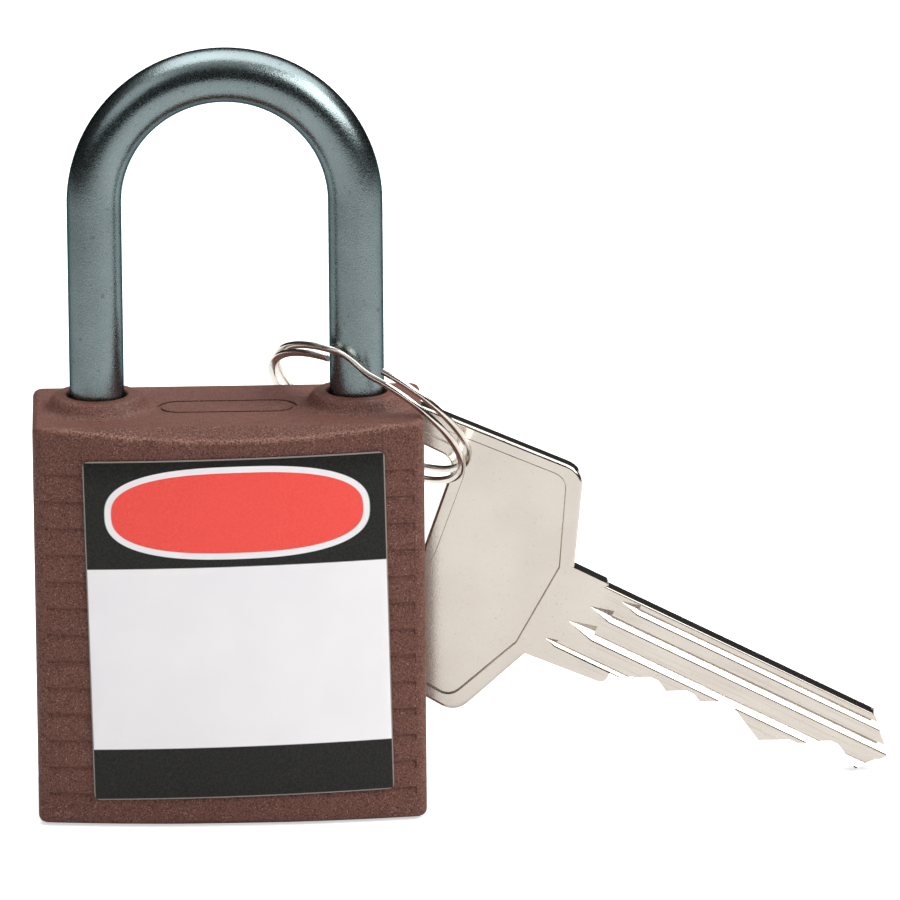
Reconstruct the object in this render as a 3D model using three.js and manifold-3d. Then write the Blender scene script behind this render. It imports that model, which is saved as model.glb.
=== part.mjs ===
// Safety padlock with a moulded nylon body, an anodised shackle, a pin tumbler cylinder,
// and its key on a split ring. Millimetres, +Z up, +X right and +Y back as seen from the front.
// The origin is the middle of the body's top face, halfway between the two shackle legs.
import * as THREE from 'three';
import { mergeVertices } from 'three/addons/utils/BufferGeometryUtils.js';
import Module from 'manifold-3d';

const wasm = await Module();
wasm.setup();

// Driving dimensions of the body
const bodyWidth = 34;
const bodyDepth = 14.3;
const bodyHeight = 35.8;
const frontBulge = 1.15;
const cornerRadius = 1;
const edgeRound = 0.6;
const frontBottomBevel = 0.6;
const ribCount = 13;
const lowestRibHeight = 2.8;
const highestRibDrop = 4.2;
const ribDepth = 0.24;
const ribLedge = 0.14;
const ribSlope = 0.62;
const ribSideMargin = 0.9;
const collarHeight = 1.2;
const collarLip = 0.15;
const collarTopRadius = 3.75;
const collarWallRadius = 4.35;
const collarFootRadius = 5;
const collarFootRise = 0.3;
const plaqueLength = 12.2;
const plaqueWidth = 4.1;
const plaqueLine = 0.35;
const plaqueDepth = 0.15;
const plaqueSetForward = 0.4;

// Driving dimensions of the shackle
const rodRadius = 2.38;
const legInset = 5.65;
const archRise = 18.23;
const toeGap = 0.32;
const legBevel = 0.45;
const heelNeckRadius = 1.5;
const heelEndLength = 9.4;
const neckShoulder = 0.9;
const legBoreClearance = 0.22;

// Driving dimensions of the ball locking
const ballCover = 1.82;
const ballTravel = 1.35;
const ballRestGap = 0.2;
const ballBoreClearance = 0.17;
const retainingBallReach = 0.6;
const runGap = 0.25;
const camHeadHeight = 4.4;
const camHubRadius = 3.6;
const camHubHeight = 2.8;
const camRecessRadius = 3.76;
const camCavityClearance = 0.3;

// Driving dimensions of the cylinder
const plugRadius = 4.7;
const plugBoreClearance = 0.08;
const shellRadius = 5.9;
const faceRecess = 0.3;
const bibleBeyondLeg = 1.55;
const bibleHalfWidth = 2.6;
const housingClearance = 0.1;
const plugTail = 1.6;
const tangWidth = 5.4;
const tangThickness = 1.6;
const tangLength = 4.2;
const tangClearance = 0.12;
const clipThickness = 0.5;
const clipGrooveDepth = 0.65;
const clipOuterRadius = 5.5;
const clipMouth = 100;
const clipClearance = 0.12;
const chamberWall = 0.86;
const pinClearance = 0.12;
const shearClearance = 0.2;
const driverShare = 0.3937;
const pinTipRadius = 0.45;
const pinTipLength = 0.7;
const pinGap = 0.1;
const coverThickness = 0.48;
const coverHalfWidth = 1.8;
const screwHeadRadius = 1.7;
const screwHeadHeight = 0.9;
const screwShankRadius = 1;
const screwClearance = 0.08;
const screwInset = 0.35;
const screwBite = 1.8;
const screwSlotWidth = 0.5;
const boreFloor = 1.4;
const cavityHeadroom = 0.3;

// Driving dimensions of the springs
const pinSpringClearance = 0.32;
const pinSpringWire = 0.13;
const pinSpringTurns = 5;
const shackleSpringRadius = 1.9;
const shackleSpringLength = 6.9;
const shackleSpringWire = 0.26;
const shackleSpringTurns = 6;
const heelBoreFloor = 2.3;
const springSeatGap = 0.1;

// Driving dimensions of the label
const labelWidth = 26.2;
const labelHeight = 30.6;
const labelThickness = 0.14;
const labelOffsetX = 0.7;
const labelTilt = 1.15;
const labelCorner = 0.5;
const labelGlue = 0.05;

// Driving dimensions of the key, along the blade and across it, from the middle of its neck
const keyThickness = 1.95;
const keyBehindBody = 0.3;
const keyTilt = 26.4;
const keyTurn = 3.3;
const ringFromHoleBack = 4.27;
const ringBelowHoleTop = 2.67;
const bowUpperHeight = 12.8;
const bowLowerHeight = 12.3;
const bowLength = 23.1;
const bowFrontRun = 3.1;
const bowUpperReach = 0.4;
const bowTaper = 1.3;
const bowCornerRadius = 2.2;
const bowRim = 1.1;
const bowRecess = 0.3;
const holeHalfLength = 8.7;
const holeFront = 12.3;
const holeFrontBow = 1.05;
const holeBack = 20.3;
const holeCornerRadius = 1.6;
const holeRim = 1.05;
const neckHalfWidth = 4.5;
const neckLength = 3.75;
const bladeTop = 4.24;
const bladeBottom = 2.8;
const bladePastShell = 0.8;
const stopLength = 7.5;
const stopDepth = 3.9;
const stopRadius = 0.8;
const bladeTipBack = 2.8;
const bladeTipHeight = 1.3;
const bladeTipRun = 3.6;
const firstCut = 3.8;
const lastCutMargin = 4.7;
const cutFlat = 0.35;
const cutFlankSlope = 1.9;
// Depth of each cut up from the blade's cut edge, from the shoulder to the tip
const cutDepths = [1.3, 1.6, 2.2, 0.4, 1.6, 3];
// Grooves along the blade: middle below the blade's top edge, width and depth of each
const grooves = [
  { below: 0.62, width: 0.9, depth: 0.45, start: 5.5 },
  { below: 2.25, width: 1.1, depth: 0.5, start: 3.2 },
  { below: 4.3, width: 1.35, depth: 0.5, start: 2 },
];
const pocketGroove = { below: 6.62, width: 0.55, depth: 0.45, start: 0.9, end: 9.6 };
const keywayClearance = 0.17;
const keywayEndGap = 0.3;
const wardShrink = 0.28;

// Driving dimensions of the split ring
const ringOuterRadius = 9.83;
const ringWireRadial = 0.7;
const ringWireAxial = 0.42;
const ringNearSpacing = 0.84;
const ringFarSpacing = 1.2;
const ringCentreOut = 1.17;
const ringCentreY = 3.26;
const ringCentreDrop = 1.7;
const ringLean = 46;
const ringHeading = 46.2;
const ringLongAxisDip = 30.5;
const ringNearAngle = 255;
const ringJogAngle = 212;
const ringJogHalfWidth = 12;
const ringEndGap = 15;

const overrun = 1;
const fullTurn = 2 * Math.PI;

// Values that follow from the driving dimensions
const ribPitch = (bodyHeight - lowestRibHeight - highestRibDrop) / (ribCount - 1);
const legX = bodyWidth / 2 - legInset;
const legBoreRadius = rodRadius + legBoreClearance;
// The ball fills the room between the leg and the recess of the cam
const ballRadius = (legX - rodRadius - ballRestGap - runGap - camRecessRadius) / 2;
const ballBoreRadius = ballRadius + ballBoreClearance;
const ballPlane = bodyHeight - ballCover - ballRadius;
const lockingBallX = legX - rodRadius - ballRestGap - ballRadius;
const retainingBallX = -(legX - rodRadius + retainingBallReach - ballRadius);
const camLockRadius = camRecessRadius + ballTravel;
const camHeelRadius = -retainingBallX - ballRadius - runGap;
const camHeadBottom = ballPlane - camHeadHeight / 2;
const camHeadTop = ballPlane + camHeadHeight / 2;
const camCavityRadius = camLockRadius + camCavityClearance;
const plugTop = camHeadBottom - camHubHeight;
const shellTop = plugTop - plugTail;
const shellLength = shellTop - faceRecess;
const clipBottom = shellTop + clipClearance;
const clipTop = clipBottom + clipThickness;
const toeBoreFloor = shellTop + housingClearance + boreFloor;
const toeEnd = toeBoreFloor + screwClearance + screwHeadHeight + toeGap;
const heelEnd = heelBoreFloor + 2 * springSeatGap + shackleSpringLength;
const cavityRadius = shellRadius + housingClearance;
const bladeLength = stopLength + shellLength + bladePastShell;
const keywayTop = faceRecess + bladeLength - stopLength + keywayEndGap;
const cutPitch = (bladeLength - stopLength - firstCut - lastCutMargin) / (cutDepths.length - 1);
const chamberRadius = (cutPitch - chamberWall) / 2;
const pinRadius = chamberRadius - pinClearance;
const pinSpringRadius = chamberRadius - pinSpringClearance;
const keyBackX = -(bladeTop + bladeBottom) / 2 - keywayClearance * 3;
const shearX = Math.sqrt(plugRadius ** 2 - pinRadius ** 2) - shearClearance / 2;
const driverX = plugRadius + shearClearance / 2;
const bibleReach = legX + bibleBeyondLeg;
const coverX = bibleReach - coverThickness;
const driverLength = driverShare * (coverX - driverX);
const chamberZ = cutDepths.map((_, i) => faceRecess + firstCut + cutPitch * i);
const pinTipX = cutDepths.map((depth) => keyBackX + bladeTop + bladeBottom - depth + pinGap);
const chamberFloorX = Math.min(...pinTipX) - pinTipLength;
const ringCentre = new THREE.Vector3(legX + ringCentreOut, ringCentreY, bodyHeight - ringCentreDrop);

const radians = THREE.MathUtils.degToRad;

// Turns a closed geometry into a solid that can be cut or joined
function solid(geometry) {
  const shell = geometry.index ? geometry.clone() : geometry;
  shell.deleteAttribute('normal');
  shell.deleteAttribute('uv');
  const merged = mergeVertices(shell, 1e-5);
  return new wasm.Manifold(new wasm.Mesh({
    numProp: 3,
    vertProperties: new Float32Array(merged.attributes.position.array),
    triVerts: new Uint32Array(merged.index.array),
  }));
}

function geometryOf(manifold) {
  const mesh = manifold.getMesh();
  const geometry = new THREE.BufferGeometry();
  const corners = new Float32Array(mesh.vertProperties);
  geometry.setAttribute('position', new THREE.BufferAttribute(corners, 3));
  geometry.setIndex(new THREE.BufferAttribute(new Uint32Array(mesh.triVerts), 1));
  geometry.computeVertexNormals();
  return geometry;
}

const cutAway = (base, cutters) => cutters.reduce((left, cutter) => left.subtract(cutter), base);
const joinAll = (pieces) => pieces.reduce((whole, piece) => whole.add(piece));

// A round bar along Z between two heights
function column(radius, bottom, top, x = 0, y = 0, sides = 32) {
  const bar = new THREE.CylinderGeometry(radius, radius, top - bottom, sides);
  bar.rotateX(Math.PI / 2);
  bar.translate(x, y, (bottom + top) / 2);
  return solid(bar);
}

// A round bar along X between two places
function crossbar(radius, left, right, z, sides = 24) {
  const bar = new THREE.CylinderGeometry(radius, radius, right - left, sides);
  bar.rotateZ(Math.PI / 2);
  bar.translate((left + right) / 2, 0, z);
  return solid(bar);
}

function block(x0, x1, y0, y1, z0, z1) {
  const box = new THREE.BoxGeometry(x1 - x0, y1 - y0, z1 - z0);
  box.translate((x0 + x1) / 2, (y0 + y1) / 2, (z0 + z1) / 2);
  return solid(box);
}

function extruded(points, depth) {
  return new THREE.ExtrudeGeometry(new THREE.Shape(points), { depth, bevelEnabled: false });
}

// A plan outline in X and Y raised between two heights
function raised(points, bottom, top) {
  return solid(extruded(points, top - bottom).translate(0, 0, bottom));
}

// A side outline in Y and Z carried along X
function sidePrism(points, left, right) {
  const alongX = new THREE.Matrix4().set(0, 0, 1, left, 1, 0, 0, 0, 0, 1, 0, 0, 0, 0, 0, 1);
  return solid(extruded(points, right - left).applyMatrix4(alongX));
}

// A closed tube through a list of rings that have the same number of points
function tubeThrough(rings) {
  const count = rings[0].length;
  const positions = rings.flat().flatMap((point) => [point.x, point.y, point.z]);
  const index = [];
  for (let r = 0; r + 1 < rings.length; r += 1) {
    for (let i = 0; i < count; i += 1) {
      const a = r * count + i;
      const b = r * count + (i + 1) % count;
      index.push(a, b, a + count, b, b + count, a + count);
    }
  }
  const last = (rings.length - 1) * count;
  for (let i = 1; i + 1 < count; i += 1) {
    index.push(0, i + 1, i, last, last + i, last + i + 1);
  }
  const geometry = new THREE.BufferGeometry();
  geometry.setAttribute('position', new THREE.Float32BufferAttribute(positions, 3));
  geometry.setIndex(index);
  return facingOut(geometry);
}

function facingOut(geometry) {
  const p = geometry.attributes.position;
  const index = geometry.index.array;
  const [a, b, c] = [new THREE.Vector3(), new THREE.Vector3(), new THREE.Vector3()];
  let volume = 0;
  for (let i = 0; i < index.length; i += 3) {
    a.fromBufferAttribute(p, index[i]);
    b.fromBufferAttribute(p, index[i + 1]);
    c.fromBufferAttribute(p, index[i + 2]);
    volume += a.dot(b.cross(c));
  }
  if (volume < 0) {
    for (let i = 0; i < index.length; i += 3) {
      [index[i + 1], index[i + 2]] = [index[i + 2], index[i + 1]];
    }
  }
  geometry.computeVertexNormals();
  return geometry;
}

// Points on an arc in the plane, from one angle in degrees to another
function arc(x, y, radius, from, to, steps) {
  const curve = new THREE.EllipseCurve(x, y, radius, radius, radians(from), radians(to), to < from);
  return curve.getPoints(steps);
}

// Body: a plan outline whose front side is one large arc

const frontHalfWidth = bodyWidth / 2 - cornerRadius;
const frontArcRadius = (frontHalfWidth ** 2 + frontBulge ** 2) / (2 * frontBulge);
const frontSteps = 12;

// Points on the front arc, moved out from the face by an offset, from left to right
function frontArcPoints(offset, halfWidth = frontHalfWidth) {
  const centreY = -bodyDepth / 2 - frontBulge + frontArcRadius;
  const points = [];
  for (let i = 0; i <= frontSteps; i += 1) {
    const x = halfWidth * (2 * i / frontSteps - 1);
    const onFace = centreY - Math.sqrt(frontArcRadius ** 2 - x ** 2);
    points.push(new THREE.Vector2(x, onFace - offset));
  }
  return points;
}

function bodyOutline() {
  const cx = bodyWidth / 2 - cornerRadius;
  const cy = bodyDepth / 2 - cornerRadius;
  return [
    ...arc(-cx, -cy, cornerRadius, 180, 270, 4).slice(0, -1),
    ...frontArcPoints(0),
    ...arc(cx, -cy, cornerRadius, 270, 360, 4).slice(1),
    ...arc(cx, cy, cornerRadius, 0, 90, 4),
    ...arc(-cx, cy, cornerRadius, 90, 180, 4).slice(0, -1),
    new THREE.Vector2(-bodyWidth / 2, cy),
  ];
}

// The moulded block with rounded edges and the 45 degree faces above and below its front
function bodyBlock() {
  const rounded = new THREE.ExtrudeGeometry(new THREE.Shape(bodyOutline()), {
    depth: bodyHeight - 2 * edgeRound,
    bevelThickness: edgeRound,
    bevelSize: edgeRound,
    bevelOffset: -edgeRound,
    bevelSegments: 2,
  });
  rounded.translate(0, 0, edgeRound);
  const front = -bodyDepth / 2;
  const reach = frontBulge + overrun;
  const topFace = sidePrism([
    new THREE.Vector2(front, bodyHeight),
    new THREE.Vector2(front, bodyHeight + overrun),
    new THREE.Vector2(front - reach, bodyHeight + overrun),
    new THREE.Vector2(front - reach, bodyHeight - reach),
  ], -bodyWidth, bodyWidth);
  const lower = front - frontBottomBevel;
  const bottomFace = sidePrism([
    new THREE.Vector2(lower, 0),
    new THREE.Vector2(lower - reach, reach),
    new THREE.Vector2(lower - reach, -overrun),
    new THREE.Vector2(lower, -overrun),
  ], -bodyWidth, bodyWidth);
  return cutAway(solid(rounded), [topFace, bottomFace]);
}

// One lapped groove: a ledge under the rib above, and a slope out to the rib below
function ribGroove(z, facePoints) {
  const rings = facePoints.map((p, i) => {
    const depth = i === 0 || i === facePoints.length - 1 ? ribDepth / 2 : ribDepth;
    const side = Math.sign(facePoints[0].y || 1);
    return [
      new THREE.Vector3(p.x, p.y + side * overrun, z + ribLedge),
      new THREE.Vector3(p.x, p.y, z + ribLedge),
      new THREE.Vector3(p.x, p.y - side * depth, z),
      new THREE.Vector3(p.x, p.y, z - ribSlope),
      new THREE.Vector3(p.x, p.y + side * overrun, z - ribSlope),
    ];
  });
  return solid(tubeThrough(rings));
}

function ribGrooves() {
  const halfWidth = bodyWidth / 2 - ribSideMargin;
  const front = frontArcPoints(0, halfWidth);
  const back = [-halfWidth, halfWidth].map((x) => new THREE.Vector2(x, bodyDepth / 2));
  const grooves = [];
  for (let i = 0; i < ribCount; i += 1) {
    const z = lowestRibHeight + ribPitch * i;
    grooves.push(ribGroove(z, front), ribGroove(z, back));
  }
  return grooves;
}

// Collar round a shackle hole, with a curved foot
function collar(x) {
  const top = bodyHeight + collarHeight;
  const footMiddle = (collarWallRadius + collarFootRadius) / 2 - collarFootRise / 4;
  const profile = [
    new THREE.Vector2(0, bodyHeight - overrun),
    new THREE.Vector2(collarFootRadius, bodyHeight - overrun),
    new THREE.Vector2(collarFootRadius, bodyHeight),
    new THREE.Vector2(footMiddle, bodyHeight + collarFootRise / 4),
    new THREE.Vector2(collarWallRadius, bodyHeight + collarFootRise),
    new THREE.Vector2(collarTopRadius, top - collarLip),
    new THREE.Vector2(collarTopRadius - collarLip, top),
    new THREE.Vector2(0, top),
  ];
  return solid(new THREE.LatheGeometry(profile, 36).rotateX(Math.PI / 2).translate(x, 0, 0));
}

function stadium(length, width, y) {
  const half = (length - width) / 2;
  return [
    ...arc(half, y, width / 2, -90, 90, 10),
    ...arc(-half, y, width / 2, 90, 270, 10),
  ];
}

// A thin line sunk into the top face round the bare place between the collars
function plaqueGroove() {
  const outer = stadium(plaqueLength, plaqueWidth, -plaqueSetForward);
  const inner = stadium(plaqueLength - 2 * plaqueLine, plaqueWidth - 2 * plaqueLine, -plaqueSetForward);
  const line = raised(outer, bodyHeight - plaqueDepth, bodyHeight + overrun);
  return line.subtract(raised(inner, bodyHeight - 2 * overrun, bodyHeight + 2 * overrun));
}

// The space for the cylinder, with the slot for its pin housing
function cylinderCavity() {
  const slotHalf = bibleHalfWidth + housingClearance;
  const slotTop = shellTop + housingClearance;
  return joinAll([
    column(cavityRadius, -overrun, plugTop + cavityHeadroom, 0, 0, 40),
    block(0, bibleReach + housingClearance, -slotHalf, slotHalf, -overrun, slotTop),
    column(camCavityRadius, plugTop, camHeadTop + cavityHeadroom, 0, 0, 40),
  ]);
}

function makeBody() {
  const top = bodyHeight + collarHeight + overrun;
  const moulding = joinAll([cutAway(bodyBlock(), ribGrooves()), collar(-legX), collar(legX)]);
  return geometryOf(cutAway(moulding, [
    plaqueGroove(),
    column(legBoreRadius, heelBoreFloor, top, -legX),
    column(legBoreRadius, toeBoreFloor, top, legX),
    crossbar(ballBoreRadius, -legX, legX, ballPlane),
    cylinderCavity(),
    column(screwShankRadius + screwClearance * 2, shellTop, toeBoreFloor + overrun,
      screwX, 0, 16),
  ]));
}

// Label: a thin sheet that lies on the curved front, a little turned

function makeLabel() {
  const inner = frontArcPoints(labelGlue);
  const outer = frontArcPoints(labelGlue + labelThickness).reverse();
  const sheet = raised([...inner, ...outer], 0, bodyHeight);
  const halfW = labelWidth / 2;
  const halfH = labelHeight / 2;
  const corner = (sx, sz, from) => arc(sx * (halfW - labelCorner), sz * (halfH - labelCorner),
    labelCorner, from, from + 90, 2);
  const outline = [
    ...corner(1, 1, 0), ...corner(-1, 1, 90), ...corner(-1, -1, 180), ...corner(1, -1, 270),
  ];
  const reach = bodyDepth;
  const cutter = extruded(outline, reach);
  cutter.rotateZ(radians(labelTilt));
  cutter.rotateX(Math.PI / 2);
  cutter.translate(labelOffsetX, 0, bodyHeight / 2);
  return geometryOf(sheet.intersect(solid(cutter)));
}

// Shackle: one round rod, with a turned neck at its heel and a milled pocket at its toe

const archCentre = bodyHeight + archRise;
const rodSides = 24;
const archSteps = 24;

// A ring of the rod at a place in the XZ plane, square to its run
function rodRing(x, z, outward, radius) {
  const ring = [];
  for (let i = 0; i < rodSides; i += 1) {
    const angle = fullTurn * i / rodSides;
    const side = radius * Math.cos(angle);
    ring.push(new THREE.Vector3(x + side * outward.x, radius * Math.sin(angle), z + side * outward.z));
  }
  return ring;
}

function makeShackle() {
  const left = new THREE.Vector3(-1, 0, 0);
  const right = new THREE.Vector3(1, 0, 0);
  const neckBottom = heelEnd + heelEndLength;
  const neckTop = ballPlane + ballRadius;
  const heel = [
    [heelEnd, rodRadius - legBevel],
    [heelEnd + legBevel, rodRadius],
    [neckBottom, rodRadius],
    [neckBottom + neckShoulder, heelNeckRadius],
    [neckTop - neckShoulder, heelNeckRadius],
    [neckTop, rodRadius],
  ].map(([z, radius]) => rodRing(-legX, z, left, radius));
  const archRings = [];
  for (let i = 0; i <= archSteps; i += 1) {
    const angle = Math.PI * (1 - i / archSteps);
    const outward = new THREE.Vector3(Math.cos(angle), 0, Math.sin(angle));
    archRings.push(rodRing(legX * outward.x, archCentre + legX * outward.z, outward, rodRadius));
  }
  const toe = [
    [toeEnd + legBevel, rodRadius],
    [toeEnd, rodRadius - legBevel],
  ].map(([z, radius]) => rodRing(legX, z, right, radius));
  const rod = solid(tubeThrough([...heel, ...archRings, ...toe]));
  const pocket = new THREE.CylinderGeometry(ballRadius + runGap, ballRadius + runGap, 4 * rodRadius, 24);
  pocket.translate(lockingBallX + ballTravel, 0, ballPlane);
  return geometryOf(rod.subtract(solid(pocket)));
}

// Springs: a round wire wound in one unbroken run

function coilSpring(radius, wire, turns, length) {
  const steps = turns * 8;
  const rings = [];
  for (let s = 0; s <= steps; s += 1) {
    const angle = fullTurn * turns * s / steps;
    const out = new THREE.Vector3(Math.cos(angle), Math.sin(angle), 0);
    const along = wire + (length - 2 * wire) * s / steps;
    const ring = [];
    for (let i = 0; i < 5; i += 1) {
      const turn = fullTurn * i / 5;
      const point = out.clone().multiplyScalar(radius + wire * Math.cos(turn));
      point.z = along + wire * Math.sin(turn);
      ring.push(point);
    }
    rings.push(ring);
  }
  console.log(`spring coil gap ${((length - 2 * wire) / turns - 2 * wire).toFixed(2)} mm`);
  return tubeThrough(rings);
}

const shackleSpringBottom = heelBoreFloor + springSeatGap;

function makeShackleSpring() {
  const spring = coilSpring(shackleSpringRadius, shackleSpringWire, shackleSpringTurns,
    shackleSpringLength);
  return spring.translate(-legX, 0, shackleSpringBottom);
}

const pinSpringX = driverX + driverLength + springSeatGap;
const pinSpringLength = coverX - springSeatGap - pinSpringX;

function makePinSpring(z) {
  const spring = coilSpring(pinSpringRadius, pinSpringWire, pinSpringTurns, pinSpringLength);
  return spring.rotateY(Math.PI / 2).translate(pinSpringX, 0, z);
}

// Balls and the cam that drives the locking one

function makeBall(x) {
  return new THREE.SphereGeometry(ballRadius, 20, 12).translate(x, 0, ballPlane);
}

// Angles round the cam in degrees, where 0 faces the locking ball before the key is turned
const quarterTurn = 90;
const heelStart = 80;
const heelEndAngle = 190;
const lockStart = 260;

function camRadius(angle) {
  const blend = (from, to, share) => from + (to - from) * (1 - Math.cos(Math.PI * share)) / 2;
  if (angle <= 0) {
    return camRecessRadius + ballTravel * Math.min(-angle, quarterTurn) / quarterTurn;
  }
  if (angle < heelStart) {
    return blend(camRecessRadius, camHeelRadius, angle / heelStart);
  }
  if (angle < heelEndAngle) {
    return camHeelRadius;
  }
  const share = (angle - heelEndAngle) / (lockStart - heelEndAngle);
  return blend(camHeelRadius, camLockRadius, Math.min(1, share));
}

function makeCam() {
  const outline = [];
  const step = 6;
  const start = -quarterTurn - step;
  for (let angle = start; angle < start + 360; angle += step) {
    const turn = radians(angle);
    const radius = camRadius(angle);
    outline.push(new THREE.Vector2(radius * Math.cos(turn), radius * Math.sin(turn)));
  }
  const head = raised(outline, camHeadBottom, camHeadTop);
  const hub = column(camHubRadius, plugTop + runGap, camHeadBottom + overrun, 0, 0, 24);
  const halfWide = tangWidth / 2 + tangClearance;
  const halfThick = tangThickness / 2 + tangClearance;
  const slotTop = plugTop + tangLength + tangClearance * 2;
  const slot = block(-halfWide, halfWide, -halfThick, halfThick, plugTop, slotTop);
  return geometryOf(joinAll([head, hub]).subtract(slot));
}

// Cylinder: shell, plug, pins, cover, clip and the screw that keeps it in the body

const screwX = legX - screwInset;
const chamberCutters = (from, to) => chamberZ.map((z) => crossbar(chamberRadius, from, to, z, 16));

function makeShell() {
  const bible = block(0, bibleReach, -bibleHalfWidth, bibleHalfWidth, faceRecess, shellTop);
  const outer = joinAll([column(shellRadius, faceRecess, shellTop, 0, 0, 40), bible]);
  const halfCover = coverHalfWidth + pinGap;
  const lastChamber = chamberZ[chamberZ.length - 1] + chamberRadius + 2 * pinGap;
  return geometryOf(cutAway(outer, [
    column(plugRadius + plugBoreClearance, 0, shellTop + overrun, 0, 0, 40),
    ...chamberCutters(plugRadius / 2, bibleReach + overrun),
    block(coverX, bibleReach + overrun, -halfCover, halfCover, faceRecess - overrun, lastChamber),
    column(screwShankRadius + screwClearance, shellTop - screwBite - runGap, shellTop + overrun,
      screwX, 0, 16),
  ]));
}

// Cross-section of the keyway: the blade's own, grown by the clearance, with a ward in each groove
function keywayCutter() {
  const half = keyThickness / 2 + keywayClearance;
  const left = keyBackX - keywayClearance;
  const right = keyBackX + bladeTop + bladeBottom + keywayClearance;
  const slot = block(left, right, -half, half, -overrun, keywayTop);
  const wards = grooves.map((groove) => {
    const middle = keyBackX + groove.below;
    const halfWard = (groove.width - wardShrink) / 2;
    const tip = -half + groove.depth - wardShrink / 2 + keywayClearance / 2;
    return block(middle - halfWard, middle + halfWard, -half - overrun, tip, -2 * overrun, plugTop);
  });
  return cutAway(slot, wards);
}

function makePlug() {
  const barrel = column(plugRadius, faceRecess, plugTop, 0, 0, 40);
  const tang = block(-tangWidth / 2, tangWidth / 2, -tangThickness / 2, tangThickness / 2,
    keywayTop, plugTop + tangLength);
  const grooveBottom = clipBottom - clipClearance / 2;
  const grooveTop = clipTop + clipClearance / 2;
  const groove = column(plugRadius + overrun, grooveBottom, grooveTop, 0, 0, 40)
    .subtract(column(plugRadius - clipGrooveDepth, grooveBottom - overrun, grooveTop + overrun,
      0, 0, 40));
  const chambers = chamberCutters(chamberFloorX, plugRadius + overrun);
  return geometryOf(joinAll([cutAway(barrel, [keywayCutter(), groove, ...chambers]), tang]));
}

function makeClip() {
  const inner = plugRadius - clipGrooveDepth + clipClearance;
  const from = clipMouth / 2;
  const outline = [
    ...arc(0, 0, clipOuterRadius, from, 360 - from, 22),
    ...arc(0, 0, inner, 360 - from, from, 22),
  ];
  return geometryOf(raised(outline, clipBottom, clipTop));
}

// A pin turned about its own axis, laid along X with its tip at the lower X
function pinGeometry(tipX, endX, tipLength, z) {
  const profile = [
    new THREE.Vector2(0, tipX),
    new THREE.Vector2(tipLength > 0 ? pinTipRadius : pinRadius - pinGap, tipX),
    new THREE.Vector2(pinRadius, tipX + Math.max(tipLength, pinGap)),
    new THREE.Vector2(pinRadius, endX - pinGap),
    new THREE.Vector2(pinRadius - pinGap, endX),
    new THREE.Vector2(0, endX),
  ];
  const turned = new THREE.LatheGeometry(profile, 12);
  return geometryOf(solid(turned.rotateZ(-Math.PI / 2).translate(0, 0, z)));
}

function makeCover() {
  const top = chamberZ[chamberZ.length - 1] + chamberRadius;
  return new THREE.BoxGeometry(coverThickness, 2 * coverHalfWidth, top - faceRecess)
    .translate(coverX + coverThickness / 2, 0, (top + faceRecess) / 2);
}

function makeScrew() {
  const headBottom = toeBoreFloor + screwClearance;
  const headTop = headBottom + screwHeadHeight;
  const profile = [
    new THREE.Vector2(0, shellTop - screwBite),
    new THREE.Vector2(screwShankRadius - screwClearance, shellTop - screwBite),
    new THREE.Vector2(screwShankRadius, shellTop - screwBite + screwClearance),
    new THREE.Vector2(screwShankRadius, headBottom),
    new THREE.Vector2(screwHeadRadius, headBottom),
    new THREE.Vector2(screwHeadRadius, headTop - screwClearance),
    new THREE.Vector2(screwHeadRadius - screwClearance, headTop),
    new THREE.Vector2(0, headTop),
  ];
  const screw = solid(new THREE.LatheGeometry(profile, 16).rotateX(Math.PI / 2).translate(screwX, 0, 0));
  const halfSlot = screwSlotWidth / 2;
  return geometryOf(screw.subtract(block(screwX - 2 * screwHeadRadius, screwX + 2 * screwHeadRadius,
    -halfSlot, halfSlot, headTop - screwSlotWidth, headTop + overrun)));
}

// Key: drawn with its blade along +X and its cut edge down, from the middle of its neck

// A side outline in X and Z carried through the key's thickness
function plate(points, halfThickness) {
  const sheet = extruded(points, 2 * halfThickness);
  return solid(sheet.rotateX(Math.PI / 2).translate(0, halfThickness, 0));
}

// Rounds each corner of an outline with its own radius
function roundedOutline(corners, steps = 4) {
  const points = [];
  corners.forEach(([x, y, radius], i) => {
    const here = new THREE.Vector2(x, y);
    const before = new THREE.Vector2(...corners.at(i - 1)).sub(here).normalize();
    const after = new THREE.Vector2(...corners[(i + 1) % corners.length]).sub(here).normalize();
    if (radius === 0) {
      points.push(here);
      return;
    }
    const half = Math.acos(THREE.MathUtils.clamp(before.dot(after), -1, 1)) / 2;
    const back = radius / Math.tan(half);
    const from = here.clone().addScaledVector(before, back);
    const to = here.clone().addScaledVector(after, back);
    points.push(...new THREE.QuadraticBezierCurve(from, here, to).getPoints(steps));
  });
  return points;
}

// The bow's outline, drawn in from its edge by a margin
function bowCorners(inset) {
  const back = -bowLength + inset;
  const upper = bowUpperHeight - inset;
  const lower = bowLowerHeight - inset;
  const radius = bowCornerRadius - inset / 2;
  const shoulder = -bowFrontRun - inset;
  const neck = neckHalfWidth - inset / 2;
  return [
    [back, -lower + bowTaper, radius],
    [shoulder, -lower, radius],
    [-inset, -neck, 0],
    [bowUpperReach - inset, neck, 0],
    [shoulder + bowUpperReach, upper, radius],
    [back, upper - bowTaper, radius],
  ];
}

function holeCorners(margin) {
  const half = holeHalfLength + margin;
  const front = -holeFront + margin;
  const corner = front - holeFrontBow;
  const back = -holeBack - margin;
  const radius = holeCornerRadius + margin;
  return [
    [back, -half, radius], [corner, -half, radius], [front, 0, radius],
    [corner, half, radius], [back, half, radius],
  ];
}

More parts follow.
